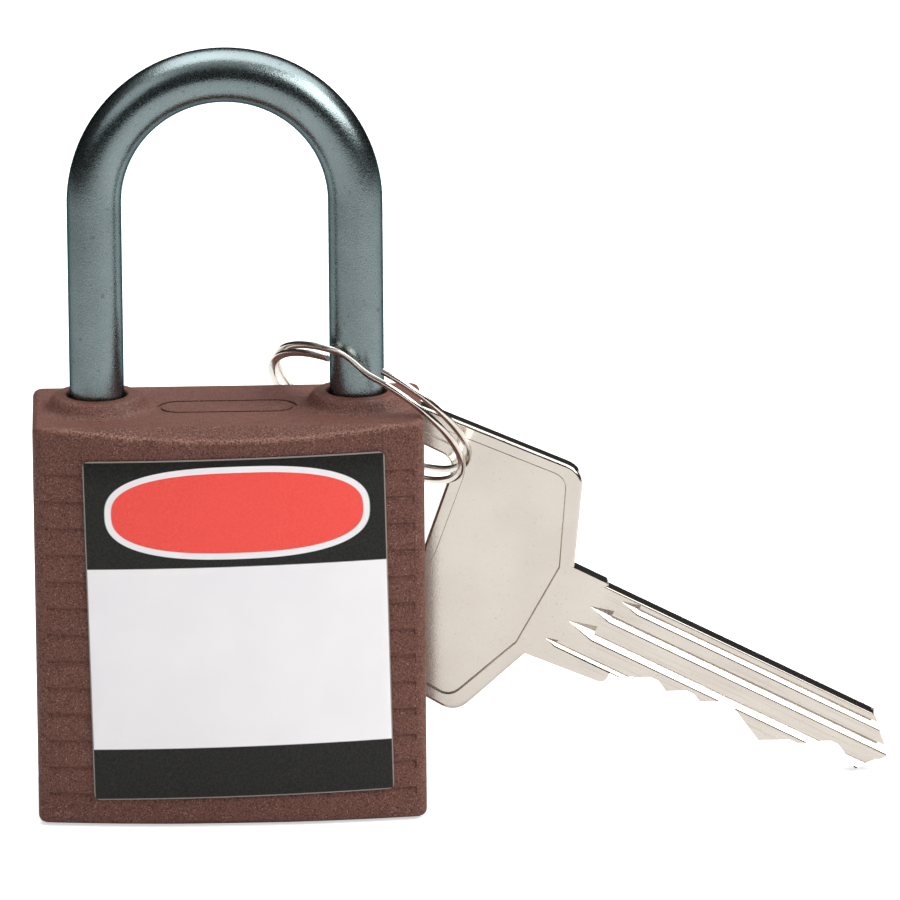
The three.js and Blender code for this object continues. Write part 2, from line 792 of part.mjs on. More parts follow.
function bladeOutline() {
  const tip = bladeLength;
  return [
    [-bowFrontRun, neckHalfWidth, 0],
    [-bowFrontRun, -neckHalfWidth, 0],
    [0, -neckHalfWidth, 0],
    [stopLength, -stopDepth, stopRadius],
    [stopLength, -bladeBottom, 0],
    [tip - bladeTipRun, -bladeBottom, 0],
    [tip, bladeTipHeight, stopRadius / 2],
    [tip - bladeTipBack, bladeTop, stopRadius / 2],
    [neckLength, bladeTop, 0],
    [neckLength, neckHalfWidth, 0],
  ];
}

// One cut of the blade: a flat with a flank on each side
function bladeCut(depth, along) {
  const half = cutFlat + depth * cutFlankSlope;
  return plate([
    new THREE.Vector2(along - half, -bladeBottom - overrun),
    new THREE.Vector2(along + half, -bladeBottom - overrun),
    new THREE.Vector2(along + half, -bladeBottom),
    new THREE.Vector2(along + cutFlat, -bladeBottom + depth),
    new THREE.Vector2(along - cutFlat, -bladeBottom + depth),
    new THREE.Vector2(along - half, -bladeBottom),
  ], keyThickness);
}

// A long groove with sloping walls in the blade's front face, run out at its start
function bladeGroove({ below, width, depth, start, end }) {
  const z = bladeTop - below;
  const face = -keyThickness / 2;
  const section = (x, share) => {
    const bottom = (width - depth) / 2 * share;
    return [
      new THREE.Vector3(x, face - overrun, z - width / 2 * share),
      new THREE.Vector3(x, face - overrun, z + width / 2 * share),
      new THREE.Vector3(x, face, z + width / 2 * share),
      new THREE.Vector3(x, face + depth * share, z + bottom),
      new THREE.Vector3(x, face + depth * share, z - bottom),
      new THREE.Vector3(x, face, z - width / 2 * share),
    ];
  };
  const runOutShare = 0.08;
  const stop = end ?? bladeLength + overrun;
  const sections = [section(start, runOutShare), section(start + 2 * width, 1), section(stop, 1)];
  return solid(tubeThrough(sections));
}

function makeKey() {
  const half = keyThickness / 2;
  const bow = plate(roundedOutline(bowCorners(0)), half);
  const blade = plate(roundedOutline(bladeOutline()), half);
  const panel = plate(roundedOutline(bowCorners(bowRim)), bowRecess);
  const recess = panel.subtract(plate(roundedOutline(holeCorners(holeRim)), keyThickness));
  const recesses = [-1, 1].map((side) => recess.translate([0, side * half, 0]));
  const cuts = cutDepths.map((depth, i) => bladeCut(depth, stopLength + firstCut + cutPitch * i));
  return geometryOf(cutAway(joinAll([bow, blade]), [
    plate(roundedOutline(holeCorners(0)), keyThickness),
    ...recesses,
    ...cuts,
    ...[...grooves, pocketGroove].map(bladeGroove),
  ]));
}

// Split ring: two turns of flat wire, closer together on its near side, with a jog where the turns pass

function ringFrame() {
  const lean = radians(ringLean);
  const heading = radians(ringHeading);
  const level = Math.sin(lean);
  const axis = new THREE.Vector3(level * Math.cos(heading), level * Math.sin(heading), Math.cos(lean));
  const dip = radians(ringLongAxisDip);
  const long = new THREE.Vector3(Math.cos(dip), 0, -Math.sin(dip));
  long.addScaledVector(axis, -long.dot(axis)).normalize();
  return { axis, long, across: new THREE.Vector3().crossVectors(axis, long) };
}

// Height of the wire above the ring's middle plane, after some degrees of its two turns
function ringLevel(turned) {
  const angle = radians(ringJogAngle + turned - ringNearAngle);
  const spacing = ringNearSpacing + (ringFarSpacing - ringNearSpacing) * (1 - Math.cos(angle)) / 2;
  const share = THREE.MathUtils.smoothstep(turned, 360 - ringJogHalfWidth, 360 + ringJogHalfWidth);
  return spacing * share - spacing / 2;
}

function makeRing() {
  const { axis, long, across } = ringFrame();
  const middle = ringOuterRadius - ringWireRadial / 2;
  const from = ringEndGap;
  const to = 720 - ringEndGap;
  const rings = [];
  const place = (turned, radius, level) => {
    const angle = radians(ringJogAngle + turned);
    return ringCentre.clone()
      .addScaledVector(long, radius * Math.cos(angle))
      .addScaledVector(across, radius * Math.sin(angle))
      .addScaledVector(axis, level);
  };
  const steps = 84;
  for (let s = 0; s <= steps; s += 1) {
    const turned = from + (to - from) * s / steps;
    const level = ringLevel(turned);
    const corners = [[-1, -1], [1, -1], [1, 1], [-1, 1]];
    rings.push(corners.map(([out, up]) => place(turned,
      middle + out * ringWireRadial / 2, level + up * ringWireAxial / 2)));
  }
  let leastGap = Infinity;
  for (let turned = from; turned <= 360 - ringEndGap; turned += 1) {
    leastGap = Math.min(leastGap, ringLevel(turned + 360) - ringLevel(turned) - ringWireAxial);
  }
  console.log(`split ring coil gap ${leastGap.toFixed(2)} mm`);
  return tubeThrough(rings);
}

// Materials

function finish(color, roughness, metalness) {
  return new THREE.MeshStandardMaterial({ color, roughness, metalness });
}

const nylon = finish(0x6e4640, 0.62, 0);
const anodised = finish(0x6f8385, 0.35, 0.85);
const nickel = finish(0xd2cec4, 0.22, 0.95);
const brass = finish(0xb9964e, 0.4, 0.9);
const steel = finish(0x9fa3a6, 0.3, 0.95);
const springWire = finish(0x8b8f92, 0.35, 0.9);
const castZinc = finish(0x8d8f90, 0.5, 0.8);
const sticker = finish(0xe6e6e4, 0.45, 0);

// The object, built up from the underside of its body

const fromUnderside = new THREE.Group();
fromUnderside.position.z = -bodyHeight;

function add(name, geometry, material) {
  const mesh = new THREE.Mesh(geometry, material);
  mesh.name = name;
  fromUnderside.add(mesh);
  return mesh;
}

add('body', makeBody(), nylon);
add('front_label', makeLabel(), sticker);
add('shackle', makeShackle(), anodised);
add('shackle_spring', makeShackleSpring(), springWire);
add('locking_ball', makeBall(lockingBallX), steel);
add('retaining_ball', makeBall(retainingBallX), steel);
add('locking_cam', makeCam(), castZinc);
add('cylinder_shell', makeShell(), brass);
add('plug', makePlug(), brass);
add('plug_clip', makeClip(), springWire);
add('chamber_cover', makeCover(), brass);
add('cylinder_screw', makeScrew(), steel);
chamberZ.forEach((z, i) => {
  add(`key_pin_${i + 1}`, pinGeometry(pinTipX[i], shearX, pinTipLength, z), brass);
  add(`driver_pin_${i + 1}`, pinGeometry(driverX, driverX + driverLength, 0, z), steel);
  add(`pin_spring_${i + 1}`, makePinSpring(z), springWire);
});
add('split_ring', makeRing(), nickel);

// The key hangs behind the body's right edge, with its tip turned a little to the front.
// Its middle plane is met by the ring at one point, which is inside the key's hole.
const turn = radians(keyTurn);
const keyMiddleY = bodyDepth / 2 + keyBehindBody + keyThickness / (2 * Math.cos(turn));
const key = add('key', makeKey(), nickel);
const slope = Math.tan(turn);

function ringAtKey() {
  const { long, across } = ringFrame();
  const radius = ringOuterRadius - ringWireRadial / 2;
  const cosine = radius * (long.y + long.x * slope);
  const sine = radius * (across.y + across.x * slope);
  const depth = keyMiddleY - ringCentre.y - (ringCentre.x - bodyWidth / 2) * slope;
  const angle = Math.atan2(sine, cosine) - Math.acos(depth / Math.hypot(cosine, sine));
  return ringCentre.clone()
    .addScaledVector(long, radius * Math.cos(angle))
    .addScaledVector(across, radius * Math.sin(angle));
}

key.rotation.set(0, radians(keyTilt), -turn, 'ZYX');
const inHole = new THREE.Vector3(-holeBack + ringFromHoleBack, 0, holeHalfLength - ringBelowHoleTop);
const neck = ringAtKey().sub(inHole.applyEuler(key.rotation));
key.position.set(neck.x, keyMiddleY - (neck.x - bodyWidth / 2) * slope, neck.z);

const padlock = new THREE.Group();
padlock.name = 'safety_padlock';
padlock.add(fromUnderside);

export default padlock;
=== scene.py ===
"""Looks of a safety padlock: nylon body, anodised shackle, printed label, key on a split ring.

Pieces are modelled in millimetres, with the body's top face at height zero, and brought to
metres as each one is finished.
"""
import math
from contextlib import contextmanager

import bmesh
import bpy
from mathutils import Matrix, Vector


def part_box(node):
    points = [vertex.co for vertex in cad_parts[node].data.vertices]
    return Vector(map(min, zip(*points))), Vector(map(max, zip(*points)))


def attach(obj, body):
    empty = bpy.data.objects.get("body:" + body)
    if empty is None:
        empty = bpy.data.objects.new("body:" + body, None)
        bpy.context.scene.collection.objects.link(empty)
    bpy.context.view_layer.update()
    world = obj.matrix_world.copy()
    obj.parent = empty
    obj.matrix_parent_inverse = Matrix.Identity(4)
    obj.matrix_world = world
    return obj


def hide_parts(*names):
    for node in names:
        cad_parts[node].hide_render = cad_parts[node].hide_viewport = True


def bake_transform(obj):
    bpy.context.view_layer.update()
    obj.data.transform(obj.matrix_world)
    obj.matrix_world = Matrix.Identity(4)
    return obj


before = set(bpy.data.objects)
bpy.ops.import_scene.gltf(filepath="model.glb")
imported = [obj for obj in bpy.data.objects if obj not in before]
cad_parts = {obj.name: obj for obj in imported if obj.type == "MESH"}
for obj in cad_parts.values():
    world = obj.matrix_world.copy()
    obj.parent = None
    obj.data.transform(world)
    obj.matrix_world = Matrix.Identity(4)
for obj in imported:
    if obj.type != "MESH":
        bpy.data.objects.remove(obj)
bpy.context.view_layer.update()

MM = 0.001
FULL_TURN = 2 * math.pi
QUARTER_TURN = math.pi / 2

# Body
BODY_WIDTH = 34.0
BODY_DEPTH = 14.3
BODY_HEIGHT = 35.8
FRONT_BULGE = 1.15
FRONT_COLUMNS = 28
CORNER_RADIUS = 1.0
CROWN_HALF = BODY_WIDTH / 2 - CORNER_RADIUS
RIM_ROUND = 0.6
FRONT_BOTTOM_BEVEL = 0.6
COLLAR_PROFILE = [
    (-1.5, 4.9), (-0.02, 5.35), (0.06, 4.95), (0.16, 4.66), (0.32, 4.45), (0.55, 4.28),
    (0.8, 4.1), (1.0, 3.92), (1.12, 3.78), (1.18, 3.66), (1.2, 3.5),
]

# Ribs, each a sharp ledge that is sunk in, over a slope that runs out again below it
RIB_COUNT = 13
RIB_PITCH = 2.4
LOWEST_RIB = 2.8
RIB_DEPTH = 0.17
RIB_LEDGE = 0.14
RIB_SLOPE = 0.62
RIB_EDGE_ABOVE = 0.02
RIB_EDGE_BELOW = 0.05
RIB_EDGE_SHARE = 0.92
RIB_SIDE_MARGIN = 0.9
RIB_END = 0.35

# Sunk outline between the collars
OUTLINE_LENGTH = 12.2
OUTLINE_WIDTH = 4.1
OUTLINE_LINE = 0.35
OUTLINE_DEPTH = 0.15
OUTLINE_Y = -0.4

# Bores and spaces in the body
LEG_X = 11.35
LEG_BORE = 2.6
LEG_BORE_TOP = 1.1
LEG_BORE_EASING = 0.2
HEEL_BORE_FLOOR = -33.5
TOE_BORE_FLOOR = -9.3
BALL_PLANE = -4.2
BALL_BORE = 2.55
BELOW_BASE = -37
CYLINDER_BORE = 6.0
CYLINDER_TOP = -8.9
HOUSING_SLOT_LENGTH = 13.0
HOUSING_SLOT_HALF = 2.7
HOUSING_SLOT_TOP = -10.7
CAM_SPACE = 5.41
CAM_FLOOR = -9.2
CAM_CEILING = -1.7
SCREW_X = 11.0
SCREW_BORE = 1.16
SCREW_BORE_FLOOR = -10.9
SCREW_BORE_TOP = -9.0

# Label
LABEL_WIDTH = 26.2
LABEL_HEIGHT = 30.6
LABEL_THICKNESS = 0.14
LABEL_CORNER = 0.5
LABEL_GAP = 0.05
LABEL_TILT = math.radians(1.15)
LABEL_CENTRE = Vector((0.7, -BODY_HEIGHT / 2))
PRINT_SPAN = 40.0
HEADER_HEIGHT = 9.7
FOOTER_HEIGHT = 4.6
LOZENGE_CENTRE = (0.18, 10.45)
LOZENGE_HALF = (11.5, 4.15)
LOZENGE_BORDER = 0.55
LOZENGE_POWER = 2.6

# Shackle
ROD_RADIUS = 2.38
ARCH_CENTRE = 18.23
ARCH_STEPS = 72
HEEL_END = (-26.4, ROD_RADIUS - 0.45)
HEEL_PROFILE = [
    (-26.25, 2.2), (-25.95, ROD_RADIUS), (-17.0, ROD_RADIUS), (-16.6, 2.1), (-16.1, 1.5),
    (-2.72, 1.5), (-2.2, 2.1), (-1.82, ROD_RADIUS), (-0.5, ROD_RADIUS),
    (ARCH_CENTRE, ROD_RADIUS),
]
TOE_PROFILE = [(-0.5, ROD_RADIUS), (-7.55, ROD_RADIUS), (-7.85, 2.2), (-8.0, 1.93)]
TOE_POCKET_X = 7.74
TOE_POCKET_RADIUS = 2.63
TOE_POCKET_HALF = 4.8

# Split ring
RING_RADIUS = 9.83
RING_CENTRE = Vector((12.52, 3.26, -1.7))
RING_LEAN = math.radians(46)
RING_HEADING = math.radians(46.2)
RING_DIP = math.radians(30.5)
WIRE_RADIAL = 0.7
WIRE_AXIAL = 0.42
WIRE_ROUND = 0.12
WIRE_START = 212
FIRST_DEGREE = 15.0
LAST_DEGREE = 705.0
WIRE_STEPS = 276
CLOSE_SPACING = 0.84
WIDE_SPACING = 1.2
CLOSEST_AT = 255
CROSSOVER_START = 348
CROSSOVER_LENGTH = 24

# Key, drawn with its neck at the origin, its blade along X and its cut edge towards lower Y
KEY_THICKNESS = 1.95
KEY_TILT = math.radians(26.4)
KEY_TURN = math.radians(3.3)
KEY_NECK = Vector((28.2604, 7.7772, -21.0316))
BOW_BACK = -23.1
BOW_UPPER = 12.8
BOW_LOWER = 12.3
BOW_SHOULDER = -3.1
BOW_CORNER = 2.2
BOW_TAPER = 1.3
BOW_SKEW = 0.4
BOW_ROUND = 0.3
NECK_HALF = 4.5
HOLE_FRONT = -12.3
HOLE_BACK = -20.3
HOLE_HALF = 8.7
HOLE_POINT = 1.05
HOLE_CORNER = 1.6
HOLE_ROUND = 0.24
HOLE_RIM = 1.05
PANEL_MARGIN = 1.02
PANEL_DEPTH = 0.3
PANEL_DRAFT = 0.985
CHANNEL_WIDTH = 0.1
CHANNEL_DEPTH = 0.05
BLADE_BACK = 4.24
BLADE_BACK_START = 3.75
BLADE_BACK_ROUND = 0.2
BLADE_EDGE = -2.8
BLADE_END = 33.0
TIP_BACK = 30.2
TIP_POINT = 1.3
TIP_EDGE = 29.4
TIP_CORNER = 0.4
STOP_X = 7.5
STOP_EDGE = -3.9
STOP_CORNER = 0.8
BEYOND_TIP = 34.0
CUT_DEPTHS = (1.3, 1.6, 2.2, 0.4, 1.6, 3.0)
FIRST_CUT = 3.8
CUT_PITCH = 3.4
CUT_FLAT = 0.35
CUT_SLOPE = 1.9
GROOVES = (
    {"below": 0.62, "width": 0.9, "depth": 0.42, "start": 5.5},
    {"below": 2.25, "width": 1.1, "depth": 0.5, "start": 3.2},
    {"below": 4.3, "width": 1.35, "depth": 0.5, "start": 2.0},
    {"below": 6.62, "width": 0.6, "depth": 0.3, "start": 0.9, "end": 9.6},
)
GROOVE_DRAFT = 0.08
GROOVE_LIP = 0.07
LIP_SPREAD = 2.3
LIP_CLEARANCE = 0.8
PANEL_CLEARANCE = 0.6
CUT_CLEARANCE = 1.2
OVERRUN = 2.0

# Springs
PIN_COUNT = 6
PIN_SPRING = {"wire": 0.13, "turns": 5}
SHACKLE_SPRING = {"wire": 0.26, "turns": 6}
CLOSED_TURN = 2.1

# Stage, in metres. The board's colour is painted greyer, a painted fall-off of light, from
# GREY_FROM to GREY_TO millimetres off the middle
FLOOR_LEVEL = -BODY_HEIGHT * MM
FLOOR_GAP = 0.0002
FLOOR_RADIUS = 0.55
FLOOR_CENTRE = (0.02, 0.12)
GREY_FROM = 110
GREY_TO = 330
FLOOR_GLOW = 0.6
WORLD_LEVELS = ((0.0, 0.03), (0.6, 0.05), (0.82, 0.5), (1.0, 0.9))

# Camera: angles in radians and places fitted to the photograph
CAMERA_RISE = 0.27866902
CAMERA_ROLL = 0.01297433
CAMERA_YAW = 0.00954698
CAMERA_DISTANCE = 0.907395
FOCAL_PIXELS = 10336.9
PHOTO_WIDTH = 900
SENSOR_WIDTH = 36.0
AIM = Vector((0, 0, -0.0178))
AIM_PIXEL = (229.673, 600.911)
NEAREST_SEEN = 0.05
FARTHEST_SEEN = 20


# Modelling by hand: one object is made active, picked over and shaped in edit mode

def alone(piece):
    bpy.ops.object.select_all(action="DESELECT")
    piece.select_set(True)
    bpy.context.view_layer.objects.active = piece


@contextmanager
def shaping(piece, mode="FACE"):
    alone(piece)
    bpy.ops.object.mode_set(mode="EDIT")
    bpy.ops.mesh.select_mode(type=mode)
    yield
    bpy.ops.object.mode_set(mode="OBJECT")


def pick(piece, kind, wanted):
    """Selects only the vertices, edges or faces that are wanted."""
    bpy.ops.mesh.select_all(action="DESELECT")
    mesh = bmesh.from_edit_mesh(piece.data)
    mesh.normal_update()
    for item in getattr(mesh, kind):
        if wanted(item):
            item.select_set(True)
    mesh.select_flush_mode()
    bmesh.update_edit_mesh(piece.data)


def pick_all():
    bpy.ops.mesh.select_all(action="SELECT")


def face_outwards():
    pick_all()
    bpy.ops.mesh.normals_make_consistent(inside=False)


def extrude_by(offset):
    bpy.ops.mesh.extrude_region_move(TRANSFORM_OT_translate={"value": offset})


def grow(start, stations, x=0.0, y=0.0):
    """Extrudes the picked loop along Z, from a start through (height, radius) stations."""
    height, radius = start
    for next_height, next_radius in stations:
        extrude_by((0, 0, next_height - height))
        share = next_radius / radius
        bpy.ops.transform.resize(value=(share, share, 1), center_override=(x, y, next_height))
        height, radius = next_height, next_radius


def slice_at(point, normal, **options):
    """Cuts all faces along a plane, or cuts off what lies beyond it."""
    pick_all()
    bpy.ops.mesh.bisect(plane_co=point, plane_no=normal, threshold=0.0001, **options)


def close_ends(piece):
    with shaping(piece, "EDGE"):
        pick(piece, "edges", lambda edge: edge.is_boundary)
        bpy.ops.mesh.fill_holes(sides=0)
        face_outwards()


def named(name):
    piece = bpy.context.active_object
    piece.name = name
    piece.data.name = name
    return piece


def place(piece, matrix):
    piece.data.transform(matrix)


def tidy(piece, gap=0.0005):
    """Joins points that meet and turns every face outwards."""
    with shaping(piece, "VERT"):
        pick_all()
        bpy.ops.mesh.remove_doubles(threshold=gap)
        bpy.ops.mesh.normals_make_consistent(inside=False)


def plate(name, outline, low, high):
    """A flat outline in X and Y, drawn by moving a disc's points, raised between two heights."""
    bpy.ops.object.select_all(action="DESELECT")
    bpy.ops.mesh.primitive_circle_add(vertices=len(outline), radius=1, fill_type="NGON")
    piece = named(name)
    for vertex, (x, y) in zip(piece.data.vertices, outline):
        vertex.co = (x, y, low)
    with shaping(piece):
        pick_all()
        extrude_by((0, 0, high - low))
        face_outwards()
    return piece


def box(name, x0, x1, y0, y1, z0, z1):
    return plate(name, [(x0, y0), (x1, y0), (x1, y1), (x0, y1)], z0, z1)


def turned(name, stations, sides=64, x=0.0, y=0.0):
    """A round piece along Z, grown from a disc through (height, radius) stations."""
    bpy.ops.object.select_all(action="DESELECT")
    bpy.ops.mesh.primitive_circle_add(
        vertices=sides, radius=stations[0][1], fill_type="NOTHING", location=(0, 0, 0)
    )
    piece = named(name)
    place(piece, Matrix.Translation((x, y, stations[0][0])))
    with shaping(piece, "EDGE"):
        pick_all()
        bpy.ops.mesh.edge_face_add()
    with shaping(piece, "EDGE"):
        pick_all()
        grow(stations[0], stations[1:], x, y)
    tidy(piece)
    return piece


def with_modifier(piece, kind, **settings):
    alone(piece)
    modifier = piece.modifiers.new(kind.lower(), kind)
    for name, value in settings.items():
        setattr(modifier, name, value)
    bpy.ops.object.modifier_apply(modifier=modifier.name)


def combine(piece, other, operation):
    """Cuts or joins a piece with another one, which is used up."""
    with_modifier(piece, "BOOLEAN", operation=operation, object=other, solver="EXACT")
    bpy.data.objects.remove(other)


def soften(piece, width, segments, angle):
    with_modifier(
        piece, "BEVEL", width=width, segments=segments, limit_method="ANGLE",
        angle_limit=math.radians(angle), use_clamp_overlap=True, harden_normals=False,
        miter_outer="MITER_ARC",
    )


def smooth(piece, angle, weight=None):
    """Smooth shading between edges sharper than angle, ruled by the large faces if weighted."""
    alone(piece)
    bpy.ops.object.shade_smooth_by_angle(angle=math.radians(angle))
    if weight:
        with_modifier(piece, "WEIGHTED_NORMAL", keep_sharp=True, weight=weight)


def dress(piece, finish):
    """Brings a piece to metres and gives it its finish."""
    place(piece, Matrix.Scale(MM, 4))
    piece.data.materials.clear()
    piece.data.materials.append(finish)


def finished(piece, body, slot, finish, *node_names):
    """Dresses a piece and hangs it on its body, in place of its CAD nodes."""
    dress(piece, finish)
    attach(piece, body)
    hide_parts(*node_names)


# Finishes: arithmetic on a Signal adds Math nodes

class Signal:
    def __init__(self, finish, socket):
        self.finish = finish
        self.socket = socket

    def worked(self, operation, *values):
        return self.finish.add(
            "ShaderNodeMath", {"operation": operation}, dict(enumerate(values))
        )

    def __add__(self, other):
        return self.worked("ADD", self, other)

    def __sub__(self, other):
        return self.worked("SUBTRACT", self, other)

    def __rsub__(self, other):
        return self.worked("SUBTRACT", other, self)

    def __mul__(self, other):
        return self.worked("MULTIPLY", self, other)

    def __truediv__(self, other):
        return self.worked("DIVIDE", self, other)

    def __pow__(self, other):
        return self.worked("POWER", self, other)

    def __abs__(self):
        return self.worked("ABSOLUTE", self)

    def most(self, other):
        return self.worked("MAXIMUM", self, other)

    def ramp(self, low, high, from_value=0.0, to_value=1.0):
        """Changes smoothly from one value to another between low and high."""
        return self.finish.add(
            "ShaderNodeMapRange",
            {"interpolation_type": "SMOOTHSTEP"},
            {0: self, 1: low, 2: high, 3: from_value, 4: to_value},
        )


def shade(code):
    """A linear colour from a six-digit screen colour."""
    parts = [int(code[i:i + 2], 16) / 255 for i in (0, 2, 4)]
    return tuple(
        p / 12.92 if p <= 0.04045 else ((p + 0.055) / 1.055) ** 2.4 for p in parts
    ) + (1.0,)


class Finish:
    def __init__(self, name):
        self.material = bpy.data.materials.new(name)
        self.material.use_nodes = True
        self.tree = self.material.node_tree
        self.shader = self.tree.nodes["Principled BSDF"]

    def feed(self, socket, value):
        if isinstance(value, Signal):
            self.tree.links.new(value.socket, socket)
        else:
            socket.default_value = value

    def add(self, kind, settings=None, sockets=None, output=0):
        """Adds one node: settings first, then the values or links of its sockets."""
        node = self.tree.nodes.new(kind)
        for name, value in (settings or {}).items():
            setattr(node, name, value)
        for key, value in (sockets or {}).items():
            self.feed(node.inputs[key], value)
        return Signal(self, node.outputs[output])

    def spot(self):
        """The place on the object, in millimetres."""
        place_in_metres = self.add("ShaderNodeTexCoord", output=3)
        return self.add(
            "ShaderNodeVectorMath", {"operation": "SCALE"}, {0: place_in_metres, 3: 1 / MM}
        )

    def axes(self, vector):
        return [
            self.add("ShaderNodeSeparateXYZ", None, {0: vector}, output=i) for i in range(3)
        ]

    def noise(self, spot, size, detail=2.0, roughness=0.5):
        """Soft random grain whose lumps are about size millimetres across."""
        return self.add(
            "ShaderNodeTexNoise", None,
            {"Vector": spot, "Scale": 1 / size, "Detail": detail, "Roughness": roughness},
        )

    def mix(self, factor, first, second):
        return self.add(
            "ShaderNodeMix", {"data_type": "RGBA"}, {0: factor, 6: first, 7: second}, output=2
        )

    def bump(self, height, depth, strength=1.0):
        """Relief from a height signal, where one stands for a depth in millimetres."""
        return self.add(
            "ShaderNodeBump", None,
            {"Strength": strength, "Distance": depth * MM, "Height": height},
        )

    def wear(self, **sockets):
        """Sets the shader's own sockets."""
        for name, value in sockets.items():
            self.feed(self.shader.inputs[name.replace("_", " ")], value)
        return self.material


def moulded_nylon():
    f = Finish("moulded_nylon")
    spot = f.spot()
    x, y, z = f.axes(spot)
    grain = f.noise(spot, 0.17, 3.0, 0.65)
    lumps = f.noise(spot, 0.9, 2.0)
    drift = f.noise(spot, 7.0, 2.0)
    # Painted sparkle: fine lighter specks in the colour stand in for glints off the surface
    painted_sparkle = f.noise(spot, 0.1, 1.0).ramp(0.6, 0.74)
    scuff = f.noise(spot, 3.2, 3.0, 0.6).ramp(0.6, 0.72) * grain.ramp(0.5, 0.64)
    base = f.mix(drift.ramp(0.3, 0.7), shade("58352c"), shade("603b32"))
    base = f.mix(grain.ramp(0.42, 0.62) * 0.58, base, shade("7a4e42"))
    base = f.mix((1 - grain).ramp(0.52, 0.66) * 0.8, base, shade("351d18"))
    base = f.mix(painted_sparkle * 0.8, base, shade("b08375"))
    base = f.mix(scuff * 0.4, base, shade("a98073"))
    # A painted highlight: the crease below the top facet is painted paler, where light catches
    # the edge
    edge_height = x * x * (FRONT_BULGE / CROWN_HALF ** 2)
    crease = abs(z + FRONT_BULGE - edge_height).ramp(0.1, 0.32, 1.0, 0.0)
    front = y.ramp(-BODY_DEPTH / 2, -BODY_DEPTH / 2 + 0.1, 1.0, 0.0)
    painted_crease_highlight = crease * front * grain.ramp(0.4, 0.62)
    base = f.mix(painted_crease_highlight * 0.4, base, shade("b58875"))
    rough = lumps.ramp(0.2, 0.8, 0.5, 0.68)
    relief = grain * 0.7 + lumps * 0.6
    return f.wear(
        Base_Color=base, Roughness=rough, Specular_IOR_Level=0.35,
        Normal=f.bump(relief, 0.06, 0.6),
    )


def anodised():
    f = Finish("anodised_aluminium")
    spot = f.spot()
    grain = f.noise(spot, 0.14, 2.0, 0.55)
    pits = f.noise(spot, 0.5, 1.0).ramp(0.68, 0.75)
    cloud = f.noise(spot, 4.0, 2.0)
    base = f.mix(cloud.ramp(0.3, 0.7), shade("727e80"), shade("7a8789"))
    base = f.mix(grain.ramp(0.45, 0.7) * 0.4, base, shade("909c9d"))
    base = f.mix(pits * 0.4, base, shade("465052"))
    rough = grain.ramp(0.3, 0.7, 0.2, 0.3)
    return f.wear(
        Base_Color=base, Metallic=1.0, Roughness=rough, Specular_Tint=shade("667072"),
        Normal=f.bump(grain, 0.03, 0.5),
    )


def metal(name, light, dark, low_rough, high_rough, grain_size, depth):
    """A plated, cast or drawn metal with its own grain, stains and fine pits."""
    f = Finish(name)
    spot = f.spot()
    grain = f.noise(spot, grain_size, 3.0, 0.6)
    cloud = f.noise(spot, 5.0, 3.0)
    pits = f.noise(spot, grain_size * 1.6, 1.0).ramp(0.68, 0.76)
    base = f.mix(cloud.ramp(0.35, 0.7), shade(light), shade(dark))
    base = f.mix(pits * 0.25, base, shade("6f655c"))
    rough = grain.ramp(0.3, 0.75, low_rough, high_rough)
    return f.wear(
        Base_Color=base, Metallic=1.0, Roughness=rough, Normal=f.bump(grain, depth, 0.3)
    )


def drawn_nickel():
    """Nickel with faint dust specks, and fine drawn lines along the key's blade."""
    f = Finish("key_nickel")
    spot = f.spot()
    x, _, z = f.axes(spot)
    grain = f.noise(spot, 0.12, 2.0, 0.6)
    cloud = f.noise(spot, 6.0, 2.0)
    specks = f.noise(spot, 0.18, 1.0).ramp(0.66, 0.74)
    cos_tilt, sin_tilt = math.cos(KEY_TILT), math.sin(KEY_TILT)
    along = (x - KEY_NECK.x) * cos_tilt - (z - KEY_NECK.z) * sin_tilt
    across = (x - KEY_NECK.x) * sin_tilt + (z - KEY_NECK.z) * cos_tilt
    drawn_out = f.add("ShaderNodeCombineXYZ", None, {0: along * 0.02, 1: across})
    drawn = f.noise(drawn_out, 0.16, 3.0) * along.ramp(1.0, 5.0)
    base = f.mix(cloud.ramp(0.3, 0.7), shade("cac3ba"), shade("c4bcb3"))
    base = f.mix(specks * 0.3, base, shade("8b8178"))
    base = f.mix(drawn.ramp(0.5, 0.62) * 0.25, base, shade("9b958e"))
    rough = grain.ramp(0.3, 0.75, 0.1, 0.18)
    relief = grain * 0.3 + drawn
    return f.wear(
        Base_Color=base, Metallic=1.0, Roughness=rough, Normal=f.bump(relief, 0.012, 0.5)
    )


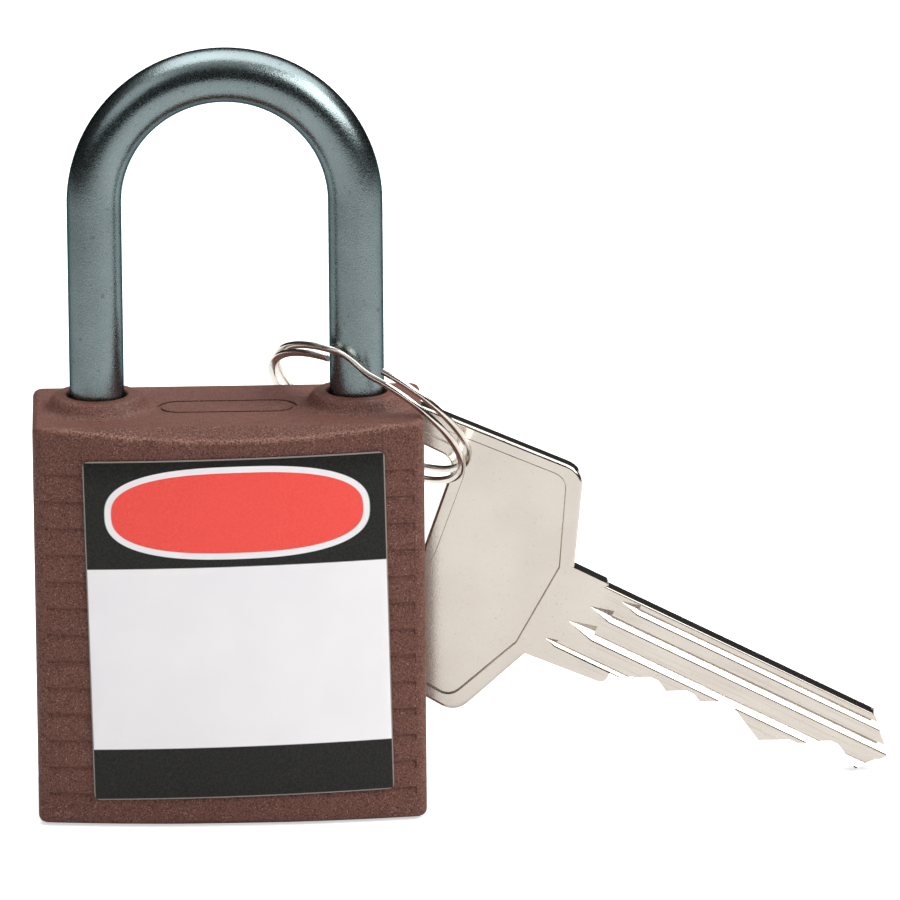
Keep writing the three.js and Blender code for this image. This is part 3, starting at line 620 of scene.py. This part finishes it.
def printed_label():
    """Black bands with a pale edge line, a white field, and a bare red lozenge."""
    f = Finish("printed_label")
    spread = f.add("ShaderNodeUVMap", {"uv_map": "print"})
    u, v, _ = f.axes(spread)
    u = (u - 0.5) * PRINT_SPAN
    v = (v - 0.5) * PRINT_SPAN
    soft = 0.05
    header_line = LABEL_HEIGHT / 2 - HEADER_HEIGHT
    footer_line = FOOTER_HEIGHT - LABEL_HEIGHT / 2
    header = v.ramp(header_line - soft, header_line + soft)
    footer = v.ramp(footer_line - soft, footer_line + soft, 1.0, 0.0)
    edge = (abs(u) - LABEL_WIDTH / 2).most(abs(v) - LABEL_HEIGHT / 2)
    spot = f.spot()
    ink_grain = f.noise(spot, 0.18, 2.0)
    black = f.mix(ink_grain.ramp(0.3, 0.75), shade("171716"), shade("272725"))
    white = f.mix(f.noise(spot, 6.0).ramp(0.3, 0.7), shade("f2f0f3"), shade("f5f3f5"))
    red = f.mix(ink_grain.ramp(0.3, 0.7), shade("f45048"), shade("f95a50"))

    def lozenge(inset):
        along = (abs(u - LOZENGE_CENTRE[0]) / (LOZENGE_HALF[0] - inset)) ** LOZENGE_POWER
        across = (abs(v - LOZENGE_CENTRE[1]) / (LOZENGE_HALF[1] - inset)) ** LOZENGE_POWER
        return (along + across).ramp(0.985, 1.015, 1.0, 0.0)

    base = f.mix(header.most(footer), white, black)
    base = f.mix(lozenge(0), base, white)
    base = f.mix(lozenge(LOZENGE_BORDER), base, red)
    base = f.mix(edge.ramp(-0.14, -0.08), base, shade("8c8781"))
    rough = ink_grain.ramp(0.2, 0.8, 0.34, 0.46)
    return f.wear(
        Base_Color=base, Roughness=rough, Specular_IOR_Level=0.22,
        Normal=f.bump(ink_grain, 0.006, 0.3),
    )


nylon = moulded_nylon()
blue_grey = anodised()
key_nickel = drawn_nickel()
ring_nickel = metal("ring_nickel", "dcd6cd", "c9c2b8", 0.09, 0.18, 0.5, 0.004)
brass = metal("turned_brass", "c6a55d", "a98746", 0.28, 0.42, 0.3, 0.01)
hard_steel = metal("hardened_steel", "b7babc", "9b9fa2", 0.16, 0.3, 0.4, 0.006)
spring_steel = metal("spring_steel", "a4a8ab", "84888b", 0.22, 0.36, 0.25, 0.006)
cast_zinc = metal("cast_zinc", "a2a4a5", "86898a", 0.42, 0.58, 0.5, 0.03)
label_print = printed_label()


# Body: a block with a crowned front, cut and bevelled, with lapped ribs, collars and bores

def front_bulge(x):
    """How far the crowned front stands out from its corners."""
    radius = (CROWN_HALF ** 2 + FRONT_BULGE ** 2) / (2 * FRONT_BULGE)
    x = min(abs(x), CROWN_HALF)
    return math.sqrt(radius ** 2 - x ** 2) - (radius - FRONT_BULGE)


def is_rim(edge):
    """Whether an edge lies between a level face and an upright one."""
    slopes = [abs(face.normal.z) for face in edge.link_faces]
    return len(slopes) == 2 and min(slopes) < 0.1 and max(slopes) > 0.9


def crowned_block():
    bpy.ops.object.select_all(action="DESELECT")
    bpy.ops.mesh.primitive_cube_add(size=1)
    body = named("padlock_body")
    place(body, Matrix.Translation((0, 0, -BODY_HEIGHT / 2))
          @ Matrix.Diagonal((BODY_WIDTH, BODY_DEPTH, BODY_HEIGHT, 1)))
    front = -BODY_DEPTH / 2
    with shaping(body, "EDGE"):
        pick(body, "edges", lambda e: abs(e.verts[0].co.z - e.verts[1].co.z) > 1)
        bpy.ops.mesh.bevel(offset=CORNER_RADIUS, segments=6, affect="EDGES")
        for i in range(1, FRONT_COLUMNS):
            x = CROWN_HALF * (2 * i / FRONT_COLUMNS - 1)
            slice_at((x, 0, 0), (1, 0, 0))
    for vertex in body.data.vertices:
        if abs(vertex.co.x) < CROWN_HALF + 0.001 and vertex.co.y < 0:
            vertex.co.y = front - front_bulge(vertex.co.x)
    with shaping(body, "EDGE"):
        pick(body, "edges", is_rim)
        bpy.ops.mesh.bevel(offset=RIM_ROUND, segments=5, affect="EDGES")
        slice_at((0, front, 0), (0, -1, 1), use_fill=True, clear_outer=True)
        slice_at((0, front - FRONT_BOTTOM_BEVEL, -BODY_HEIGHT), (0, -1, -1),
                 use_fill=True, clear_outer=True)
    return body


def lap_ribs(body):
    """Sinks a sharp ledge into the front and the back for each rib, with a slope below it."""
    edges = [LOWEST_RIB + RIB_PITCH * i - BODY_HEIGHT for i in range(RIB_COUNT)]
    half_x, half_y = BODY_WIDTH / 2, BODY_DEPTH / 2
    with shaping(body, "EDGE"):
        for margin in (RIB_SIDE_MARGIN, RIB_SIDE_MARGIN + RIB_END):
            for side in (-1, 1):
                slice_at((side * (half_x - margin), 0, 0), (1, 0, 0))
        for z in edges:
            for shift in (RIB_LEDGE, RIB_EDGE_ABOVE, -RIB_EDGE_BELOW, -RIB_SLOPE):
                slice_at((0, 0, z + shift), (0, 0, 1))
    lap = {}
    for z in edges:
        lap[round(z + RIB_EDGE_ABOVE, 3)] = RIB_DEPTH * RIB_EDGE_SHARE
        lap[round(z - RIB_EDGE_BELOW, 3)] = RIB_DEPTH
    for vertex in body.data.vertices:
        depth = lap.get(round(vertex.co.z, 3), 0)
        inside = half_x - RIB_SIDE_MARGIN - abs(vertex.co.x)
        if depth and inside > 0.01:
            if vertex.co.y < -half_y:
                vertex.co.y += depth
            elif vertex.co.y > half_y - 0.001:
                vertex.co.y -= depth


def stretched_disc(name, length, width, y, low, high, sides=48):
    half = (length - width) / 2
    outline = []
    for i in range(sides):
        angle = FULL_TURN * i / sides + math.pi / sides
        side = math.copysign(half, math.cos(angle))
        outline.append((side + width / 2 * math.cos(angle), y + width / 2 * math.sin(angle)))
    return plate(name, outline, low, high)


def outline_line():
    line = stretched_disc(
        "outline_line", OUTLINE_LENGTH, OUTLINE_WIDTH, OUTLINE_Y, -OUTLINE_DEPTH, 1
    )
    island = stretched_disc(
        "outline_island", OUTLINE_LENGTH - 2 * OUTLINE_LINE, OUTLINE_WIDTH - 2 * OUTLINE_LINE,
        OUTLINE_Y, -1, 2,
    )
    combine(line, island, "DIFFERENCE")
    return line


def leg_bore(x, floor):
    """A bore that opens a little at the top of its collar."""
    eased = LEG_BORE + LEG_BORE_EASING
    return turned("leg_bore", [
        (floor, LEG_BORE), (LEG_BORE_TOP - 0.12, LEG_BORE), (LEG_BORE_TOP, LEG_BORE + 0.05),
        (LEG_BORE_TOP + 0.15, eased), (LEG_BORE_TOP + 1.4, eased),
    ], 64, x)


def ball_bore():
    bore = turned("ball_bore", [(-LEG_X, BALL_BORE), (LEG_X, BALL_BORE)], 48)
    place(bore, Matrix.Translation((0, 0, BALL_PLANE)) @ Matrix.Rotation(QUARTER_TURN, 4, "Y"))
    return bore


def cylinder_space():
    """The bore for the plug, with its pin housing's slot and the cam's space above."""
    space = turned("cylinder_space", [(BELOW_BASE, CYLINDER_BORE), (CYLINDER_TOP, CYLINDER_BORE)])
    slot = box("housing_slot", 0, HOUSING_SLOT_LENGTH, -HOUSING_SLOT_HALF, HOUSING_SLOT_HALF,
               BELOW_BASE, HOUSING_SLOT_TOP)
    combine(space, slot, "UNION")
    cam_space = turned("cam_space", [(CAM_FLOOR, CAM_SPACE), (CAM_CEILING, CAM_SPACE)])
    combine(space, cam_space, "UNION")
    return space


def screw_bore():
    stations = [(SCREW_BORE_FLOOR, SCREW_BORE), (SCREW_BORE_TOP, SCREW_BORE)]
    return turned("screw_bore", stations, 32, SCREW_X)


def make_body():
    body = crowned_block()
    lap_ribs(body)
    tidy(body)
    for side in (-1, 1):
        combine(body, turned("collar", COLLAR_PROFILE, 96, side * LEG_X), "UNION")
    combine(body, outline_line(), "DIFFERENCE")
    combine(body, leg_bore(-LEG_X, HEEL_BORE_FLOOR), "DIFFERENCE")
    combine(body, leg_bore(LEG_X, TOE_BORE_FLOOR), "DIFFERENCE")
    combine(body, ball_bore(), "DIFFERENCE")
    combine(body, cylinder_space(), "DIFFERENCE")
    combine(body, screw_bore(), "DIFFERENCE")
    tidy(body)
    smooth(body, 30, 50)
    finished(body, "housing", "nylon", nylon, "body")


# Label: a sheet bent over the crowned front

def make_label():
    bpy.ops.object.select_all(action="DESELECT")
    bpy.ops.mesh.primitive_grid_add(x_subdivisions=52, y_subdivisions=12, size=1)
    label = named("label")
    place(label, Matrix.Diagonal((LABEL_WIDTH, LABEL_HEIGHT, 1, 1)))
    with shaping(label, "VERT"):
        pick(label, "verts", lambda v: len(v.link_edges) == 2)
        bpy.ops.mesh.bevel(offset=LABEL_CORNER, segments=5, affect="VERTICES")
    spread = label.data.uv_layers.new(name="print")
    for loop in label.data.loops:
        co = label.data.vertices[loop.vertex_index].co
        spread.data[loop.index].uv = (co.x / PRINT_SPAN + 0.5, co.y / PRINT_SPAN + 0.5)
    for vertex in label.data.vertices:
        x, z = Matrix.Rotation(LABEL_TILT, 2) @ vertex.co.xy + LABEL_CENTRE
        vertex.co = (x, -BODY_DEPTH / 2 - front_bulge(x) - LABEL_GAP, z)
    with_modifier(label, "SOLIDIFY", thickness=LABEL_THICKNESS, offset=1.0)
    with shaping(label):
        face_outwards()
    soften(label, 0.04, 2, 60)
    smooth(label, 40)
    finished(label, "housing", "label", label_print, "front_label")


# Shackle: one round rod, turned down at its heel, bent over and run down to its toe

def make_shackle():
    heel_height, heel_radius = HEEL_END
    bpy.ops.object.select_all(action="DESELECT")
    bpy.ops.mesh.primitive_circle_add(vertices=64, radius=heel_radius, fill_type="NOTHING")
    rod = named("shackle_rod")
    place(rod, Matrix.Translation((-LEG_X, 0, heel_height)))
    with shaping(rod, "EDGE"):
        pick_all()
        grow(HEEL_END, HEEL_PROFILE, -LEG_X)
        bpy.ops.mesh.spin(
            steps=ARCH_STEPS, angle=-math.pi, center=(0, 0, ARCH_CENTRE), axis=(0, 1, 0)
        )
        grow((ARCH_CENTRE, ROD_RADIUS), TOE_PROFILE, LEG_X)
    close_ends(rod)
    tidy(rod)
    pocket = turned("toe_pocket", [
        (-TOE_POCKET_HALF, TOE_POCKET_RADIUS), (TOE_POCKET_HALF, TOE_POCKET_RADIUS),
    ])
    place(pocket, Matrix.Translation((TOE_POCKET_X, 0, BALL_PLANE))
          @ Matrix.Rotation(QUARTER_TURN, 4, "X"))
    combine(rod, pocket, "DIFFERENCE")
    smooth(rod, 35)
    finished(rod, "shackle", "anodised_shackle", blue_grey, "shackle")


# Split ring: two turns of flat wire, spun as one coil and then spread apart

def ring_level(turned_by):
    """The wire's height in the ring, so many degrees after its start."""
    angle = math.radians(WIRE_START + turned_by - CLOSEST_AT)
    spacing = CLOSE_SPACING + (WIDE_SPACING - CLOSE_SPACING) * (1 - math.cos(angle)) / 2
    share = min(1, max(0, (turned_by - CROSSOVER_START) / CROSSOVER_LENGTH))
    return spacing * (share * share * (3 - 2 * share) - 0.5)


def ring_matrix():
    outwards = math.sin(RING_LEAN)
    axis = Vector((
        outwards * math.cos(RING_HEADING), outwards * math.sin(RING_HEADING),
        math.cos(RING_LEAN),
    ))
    along = Vector((math.cos(RING_DIP), 0, -math.sin(RING_DIP)))
    along = (along - axis * along.dot(axis)).normalized()
    turn = Matrix((along, axis.cross(along), axis)).transposed().to_4x4()
    return Matrix.Translation(RING_CENTRE) @ turn


def make_ring():
    bpy.ops.object.select_all(action="DESELECT")
    bpy.ops.mesh.primitive_plane_add(size=1)
    wire = named("split_ring_wire")
    place(wire, Matrix.Rotation(QUARTER_TURN, 4, "X")
          @ Matrix.Diagonal((WIRE_RADIAL, WIRE_AXIAL, 1, 1)))
    place(wire, Matrix.Translation((RING_RADIUS - WIRE_RADIAL / 2, 0, 0)))
    with shaping(wire, "VERT"):
        pick_all()
        bpy.ops.mesh.bevel(offset=WIRE_ROUND, segments=3, affect="VERTICES")
    with shaping(wire):
        pick_all()
        bpy.ops.mesh.delete(type="ONLY_FACE")
    place(wire, Matrix.Rotation(math.radians(WIRE_START + FIRST_DEGREE), 4, "Z"))
    corners = len(wire.data.vertices)
    sweep = LAST_DEGREE - FIRST_DEGREE
    with shaping(wire, "EDGE"):
        pick_all()
        bpy.ops.mesh.spin(
            steps=WIRE_STEPS, angle=math.radians(sweep), center=(0, 0, 0), axis=(0, 0, 1),
            use_auto_merge=False,
        )
    for vertex in wire.data.vertices:
        step = vertex.index // corners
        vertex.co.z += ring_level(FIRST_DEGREE + sweep * step / WIRE_STEPS)
    close_ends(wire)
    place(wire, ring_matrix())
    smooth(wire, 50)
    finished(wire, "ring", "polished_nickel", ring_nickel, "split_ring")


# Key: drawn flat, then stood up and hung

def rounded(corners, steps=8):
    """An outline through (x, y, radius) corners, each bent round by steps."""
    points = []
    for i, (x, y, radius) in enumerate(corners):
        here = Vector((x, y))
        if not radius:
            points.append((x, y))
            continue
        before = (Vector(corners[i - 1][:2]) - here).normalized()
        after = (Vector(corners[(i + 1) % len(corners)][:2]) - here).normalized()
        back = radius / math.tan(before.angle(after) / 2)
        start, end = here + before * back, here + after * back
        for s in range(steps + 1):
            t = s / steps
            points.append(tuple(start * (1 - t) ** 2 + here * 2 * t * (1 - t) + end * t ** 2))
    return points


def bow_outline(inset):
    back, upper, lower = BOW_BACK + inset, BOW_UPPER - inset, BOW_LOWER - inset
    shoulder, neck = BOW_SHOULDER - inset, NECK_HALF - inset / 2
    radius = BOW_CORNER - inset / 2
    return rounded([
        (back, -lower + BOW_TAPER, radius), (shoulder, -lower, radius), (-inset, -neck, 0),
        (BOW_SKEW - inset, neck, 0), (shoulder + BOW_SKEW, upper, radius),
        (back, upper - BOW_TAPER, radius),
    ])


def hole_outline(margin):
    half, front, back = HOLE_HALF + margin, HOLE_FRONT + margin, HOLE_BACK - margin
    side, radius = front - HOLE_POINT, HOLE_CORNER + margin
    return rounded([
        (back, -half, radius), (side, -half, radius), (front, 0, radius), (side, half, radius),
        (back, half, radius),
    ])


def blade_outline():
    return rounded([
        (BOW_SHOULDER, NECK_HALF, 0), (BOW_SHOULDER, -NECK_HALF, 0), (0, -NECK_HALF, 0),
        (STOP_X, STOP_EDGE, STOP_CORNER), (STOP_X, BLADE_EDGE, 0), (TIP_EDGE, BLADE_EDGE, 0),
        (BLADE_END, TIP_POINT, TIP_CORNER), (TIP_BACK, BLADE_BACK, TIP_CORNER),
        (BLADE_BACK_START, BLADE_BACK, 0), (BLADE_BACK_START, NECK_HALF, 0),
    ], 5)


def sunk_panel(side):
    """The shallow pressed panel of one face of the bow, with a fine channel along its rim."""
    half = KEY_THICKNESS / 2
    low, high = half - PANEL_DEPTH, half + PANEL_CLEARANCE
    panel = plate("panel", bow_outline(PANEL_MARGIN), low, high)
    with shaping(panel):
        pick(panel, "faces", lambda f: f.normal.z < -0.9)
        bpy.ops.transform.resize(value=(PANEL_DRAFT, PANEL_DRAFT, 1))
    combine(panel, plate("hole_rim", hole_outline(HOLE_RIM), -OVERRUN, OVERRUN), "DIFFERENCE")
    with shaping(panel):
        pick(panel, "faces", lambda f: f.normal.z < -0.9)
        bpy.ops.mesh.inset(thickness=CHANNEL_WIDTH)
        bpy.ops.transform.translate(value=(0, 0, CHANNEL_DEPTH))
    if side < 0:
        place(panel, Matrix.Diagonal((1, 1, -1, 1)))
        tidy(panel)
    return panel


def groove(below, width, depth, start, end=BEYOND_TIP):
    """A long groove that slopes up to a worn lower lip, and runs out to a point at its start."""
    middle = BLADE_BACK - below
    top = KEY_THICKNESS / 2
    full = start + 2 * width
    cutter = plate("groove", [
        (start, middle), (full, middle - width / 2), (end, middle - width / 2),
        (end, middle + width / 2), (full, middle + width / 2),
    ], top - depth, top - GROOVE_LIP)
    for vertex in cutter.data.vertices:
        if vertex.co.z < top - depth / 2:
            if vertex.co.y > middle + 0.01:
                vertex.co.y -= depth * GROOVE_DRAFT
            elif vertex.co.y < middle - 0.01:
                vertex.co.y += depth
            else:
                vertex.co.x = full
    for rise in (GROOVE_LIP, LIP_CLEARANCE):
        with shaping(cutter):
            pick(cutter, "faces", lambda f: f.normal.z > 0.9)
            extrude_by((0, 0, rise))
    for vertex in cutter.data.vertices:
        if vertex.co.z > top - GROOVE_LIP / 2 and vertex.co.y < middle - 0.01:
            vertex.co.y -= GROOVE_LIP * LIP_SPREAD
    tidy(cutter)
    return cutter


def blade_cut(depth, along):
    half = CUT_FLAT + depth * CUT_SLOPE
    floor, outside = BLADE_EDGE + depth, BLADE_EDGE - CUT_CLEARANCE
    return plate("cut", [
        (along - half, outside), (along + half, outside), (along + half, BLADE_EDGE),
        (along + CUT_FLAT, floor), (along - CUT_FLAT, floor), (along - half, BLADE_EDGE),
    ], -OVERRUN, OVERRUN)


def round_over(key, width, wanted):
    """Rounds the edges of both faces at the wanted vertices."""
    face_height = KEY_THICKNESS / 2 - 0.001

    def at_face(edge):
        flat = all(abs(v.co.z) > face_height and wanted(v.co) for v in edge.verts)
        return flat and any(abs(face.normal.z) < 0.1 for face in edge.link_faces)

    with shaping(key, "EDGE"):
        pick(key, "edges", at_face)
        bpy.ops.mesh.bevel(offset=width, segments=3, affect="EDGES")


def on_blade_back(co):
    return co.y > BLADE_BACK - 0.002 and co.x > BLADE_BACK_START - 0.01


def on_hole(co):
    return HOLE_BACK - 0.1 < co.x < HOLE_FRONT + 0.1 and abs(co.y) < HOLE_HALF + 0.1


def make_key():
    half = KEY_THICKNESS / 2
    key = plate("key_blank", bow_outline(0), -half, half)
    soften(key, BOW_ROUND, 4, 30)
    combine(key, plate("blade", blade_outline(), -half, half), "UNION")
    for side in (1, -1):
        combine(key, sunk_panel(side), "DIFFERENCE")
    combine(key, plate("hole", hole_outline(0), -OVERRUN, OVERRUN), "DIFFERENCE")
    for i, depth in enumerate(CUT_DEPTHS):
        combine(key, blade_cut(depth, STOP_X + FIRST_CUT + CUT_PITCH * i), "DIFFERENCE")
    for settings in GROOVES:
        combine(key, groove(**settings), "DIFFERENCE")
    tidy(key, 0.002)
    with shaping(key):
        pick_all()
        bpy.ops.mesh.dissolve_limited(angle_limit=math.radians(0.5))
    round_over(key, BLADE_BACK_ROUND, on_blade_back)
    round_over(key, HOLE_ROUND, on_hole)
    smooth(key, 32, 100)
    upright = Matrix.Rotation(QUARTER_TURN, 4, "X")
    hang = Matrix.Rotation(-KEY_TURN, 4, "Z") @ Matrix.Rotation(KEY_TILT, 4, "Y")
    place(key, Matrix.Translation(KEY_NECK) @ hang @ upright)
    finished(key, "key", "key_nickel", key_nickel, "key")


# Springs: coils with closed ends, laid between their two seats

def make_spring(node, moving, wire, turns, steps=20, sides=10):
    """A coil laid over a CAD spring, upright or along X; the moving argument is not used."""
    low, high = (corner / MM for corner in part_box(node))
    middle = (low + high) / 2
    upright = high.z - low.z > high.y - low.y + 0.5
    length = high.z - low.z if upright else high.x - low.x
    radius = (high.y - low.y) / 2 - wire
    closed = CLOSED_TURN * wire
    pitch = (length - 2 * wire - 2 * closed) / turns
    bpy.ops.object.select_all(action="DESELECT")
    bpy.ops.mesh.primitive_circle_add(vertices=sides, radius=wire, fill_type="NOTHING")
    coil = named(node + "_coil")
    place(coil, Matrix.Translation((radius, 0, 0)) @ Matrix.Rotation(QUARTER_TURN, 4, "X"))
    with_modifier(coil, "SCREW", angle=FULL_TURN, screw_offset=0.0, iterations=turns + 2,
                  steps=steps, render_steps=steps)
    for count, vertex in enumerate(coil.data.vertices):
        turn = count // sides / steps
        open_turns = min(max(turn - 1, 0), turns)
        closed_turns = min(turn, 1) + max(turn - 1 - turns, 0)
        vertex.co.z += wire + closed * closed_turns + pitch * open_turns
    close_ends(coil)
    smooth(coil, 60)
    if upright:
        seat, far = Vector((middle.x, middle.y, low.z)), Vector((middle.x, middle.y, high.z))
        place(coil, Matrix.Translation(seat))
    else:
        seat, far = Vector((high.x, middle.y, middle.z)), Vector((low.x, middle.y, middle.z))
        place(coil, Matrix.Translation(far) @ Matrix.Rotation(QUARTER_TURN, 4, "Y"))
    dress(coil, spring_steel)
    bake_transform(coil)
    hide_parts(node)


make_body()
make_label()
make_shackle()
make_ring()
make_key()
make_spring("shackle_spring", "shackle", **SHACKLE_SPRING)
for number in range(1, PIN_COUNT + 1):
    make_spring(f"pin_spring_{number}", f"driver_pin_{number}", **PIN_SPRING)


# Inner pieces keep their solids and get their finishes

def numbered(name):
    return [f"{name}_{number}" for number in range(1, PIN_COUNT + 1)]


INNER = {
    brass: ["cylinder_shell", "plug", "chamber_cover", *numbered("key_pin")],
    hard_steel: ["locking_ball", "retaining_ball", "cylinder_screw", *numbered("driver_pin")],
    spring_steel: ["plug_clip"],
    cast_zinc: ["locking_cam"],
}
for finish, names in INNER.items():
    for name in names:
        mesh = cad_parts[name].data
        mesh.materials.clear()
        mesh.materials.append(finish)


# Stage: a white board, three soft lamps, a world that is dark towards the level, and the camera

LAMPS = (
    ("overhead", (0.22, 0.26, 0.62), (0.22, 0.25, 0), (1.1, 0.76), 7.2, (1.0, 0.995, 0.985)),
    ("right_key", (0.58, -0.3, 0.5), (0, 0, 0), (0.6, 0.46), 4.9, (1.0, 0.99, 0.975)),
    ("left_fill", (-0.5, -0.34, 0.46), (0, 0, 0), (0.5, 0.4), 0.7, (0.975, 0.985, 1.0)),
)


def make_floor():
    bpy.ops.object.select_all(action="DESELECT")
    bpy.ops.mesh.primitive_circle_add(
        vertices=96, radius=FLOOR_RADIUS, fill_type="NGON",
        location=(*FLOOR_CENTRE, FLOOR_LEVEL - FLOOR_GAP),
    )
    board = named("floor")
    f = Finish("white_board")
    x, _, _ = f.axes(f.spot())
    # Painted shade: the board turns greyer away from the middle, as if less light fell there
    painted_falloff = abs(x).ramp(GREY_FROM, GREY_TO)
    f.wear(Base_Color=f.mix(painted_falloff, shade("ebebeb"), shade("b8b8b8")), Roughness=0.8)
    seen = f.add("ShaderNodeLightPath")
    glow = f.add(
        "ShaderNodeEmission", None, {"Color": (1, 1, 1, 1), "Strength": seen * FLOOR_GLOW}
    )
    total = f.add("ShaderNodeAddShader", None, {0: Signal(f, f.shader.outputs[0]), 1: glow})
    f.tree.links.new(total.socket, f.tree.nodes["Material Output"].inputs["Surface"])
    board.data.materials.append(f.material)


def softbox(name, place_at, aim, size, strength, colour):
    light = bpy.data.lights.new(name, "AREA")
    light.shape = "RECTANGLE"
    light.size, light.size_y = size
    light.energy = strength
    light.color = colour
    lamp = bpy.data.objects.new(name, light)
    bpy.context.scene.collection.objects.link(lamp)
    lamp.location = place_at
    lamp.rotation_euler = (Vector(aim) - Vector(place_at)).to_track_quat("-Z", "Y").to_euler()


def make_world():
    """White for the camera, and for all else a grey that follows the height of the direction."""
    world = bpy.data.worlds.new("studio")
    bpy.context.scene.world = world
    world.use_nodes = True
    tree = world.node_tree
    background = tree.nodes["Background"]
    direction = tree.nodes.new("ShaderNodeTexCoord")
    split = tree.nodes.new("ShaderNodeSeparateXYZ")
    tree.links.new(direction.outputs["Generated"], split.inputs[0])
    ramp = tree.nodes.new("ShaderNodeValToRGB")
    stops = ramp.color_ramp.elements
    for position, _ in WORLD_LEVELS[1:-1]:
        stops.new(position)
    for stop, (_, level) in zip(stops, WORLD_LEVELS):
        stop.color = (level, level, level, 1)
    tree.links.new(split.outputs["Z"], ramp.inputs[0])
    seen = tree.nodes.new("ShaderNodeLightPath")
    pick_white = tree.nodes.new("ShaderNodeMix")
    pick_white.data_type = "RGBA"
    tree.links.new(seen.outputs["Is Camera Ray"], pick_white.inputs[0])
    tree.links.new(ramp.outputs["Color"], pick_white.inputs[6])
    pick_white.inputs[7].default_value = (1, 1, 1, 1)
    tree.links.new(pick_white.outputs[2], background.inputs["Color"])


def make_camera():
    cos_e, sin_e = math.cos(CAMERA_RISE), math.sin(CAMERA_RISE)
    cos_y, sin_y = math.cos(CAMERA_YAW), math.sin(CAMERA_YAW)
    cos_r, sin_r = math.cos(CAMERA_ROLL), math.sin(CAMERA_ROLL)
    forward = Vector((sin_y * cos_e, cos_y * cos_e, -sin_e))
    level = Vector((cos_y, -sin_y, 0))
    rise = Vector((sin_y * sin_e, cos_y * sin_e, cos_e))
    right = level * cos_r - rise * sin_r
    up = level * sin_r + rise * cos_r
    location = AIM - forward * CAMERA_DISTANCE
    # The photograph's middle is looked at, so no shift is needed
    middle = PHOTO_WIDTH / 2
    to_right = (middle - AIM_PIXEL[0]) / FOCAL_PIXELS
    upwards = (AIM_PIXEL[1] - middle) / FOCAL_PIXELS
    aim = (forward + right * to_right + up * upwards).normalized()
    right = (right - aim * right.dot(aim)).normalized()
    up = right.cross(aim)
    turn = Matrix((right, up, -aim)).transposed().to_4x4()
    data = bpy.data.cameras.new("camera")
    data.sensor_width = SENSOR_WIDTH
    data.lens = FOCAL_PIXELS * SENSOR_WIDTH / PHOTO_WIDTH
    data.clip_start = NEAREST_SEEN
    data.clip_end = FARTHEST_SEEN
    camera = bpy.data.objects.new("camera", data)
    bpy.context.scene.collection.objects.link(camera)
    camera.matrix_world = Matrix.Translation(location) @ turn
    bpy.context.scene.camera = camera


make_floor()
for lamp in LAMPS:
    softbox(*lamp)
make_world()
make_camera()
bpy.context.scene.view_settings.view_transform = "Standard"
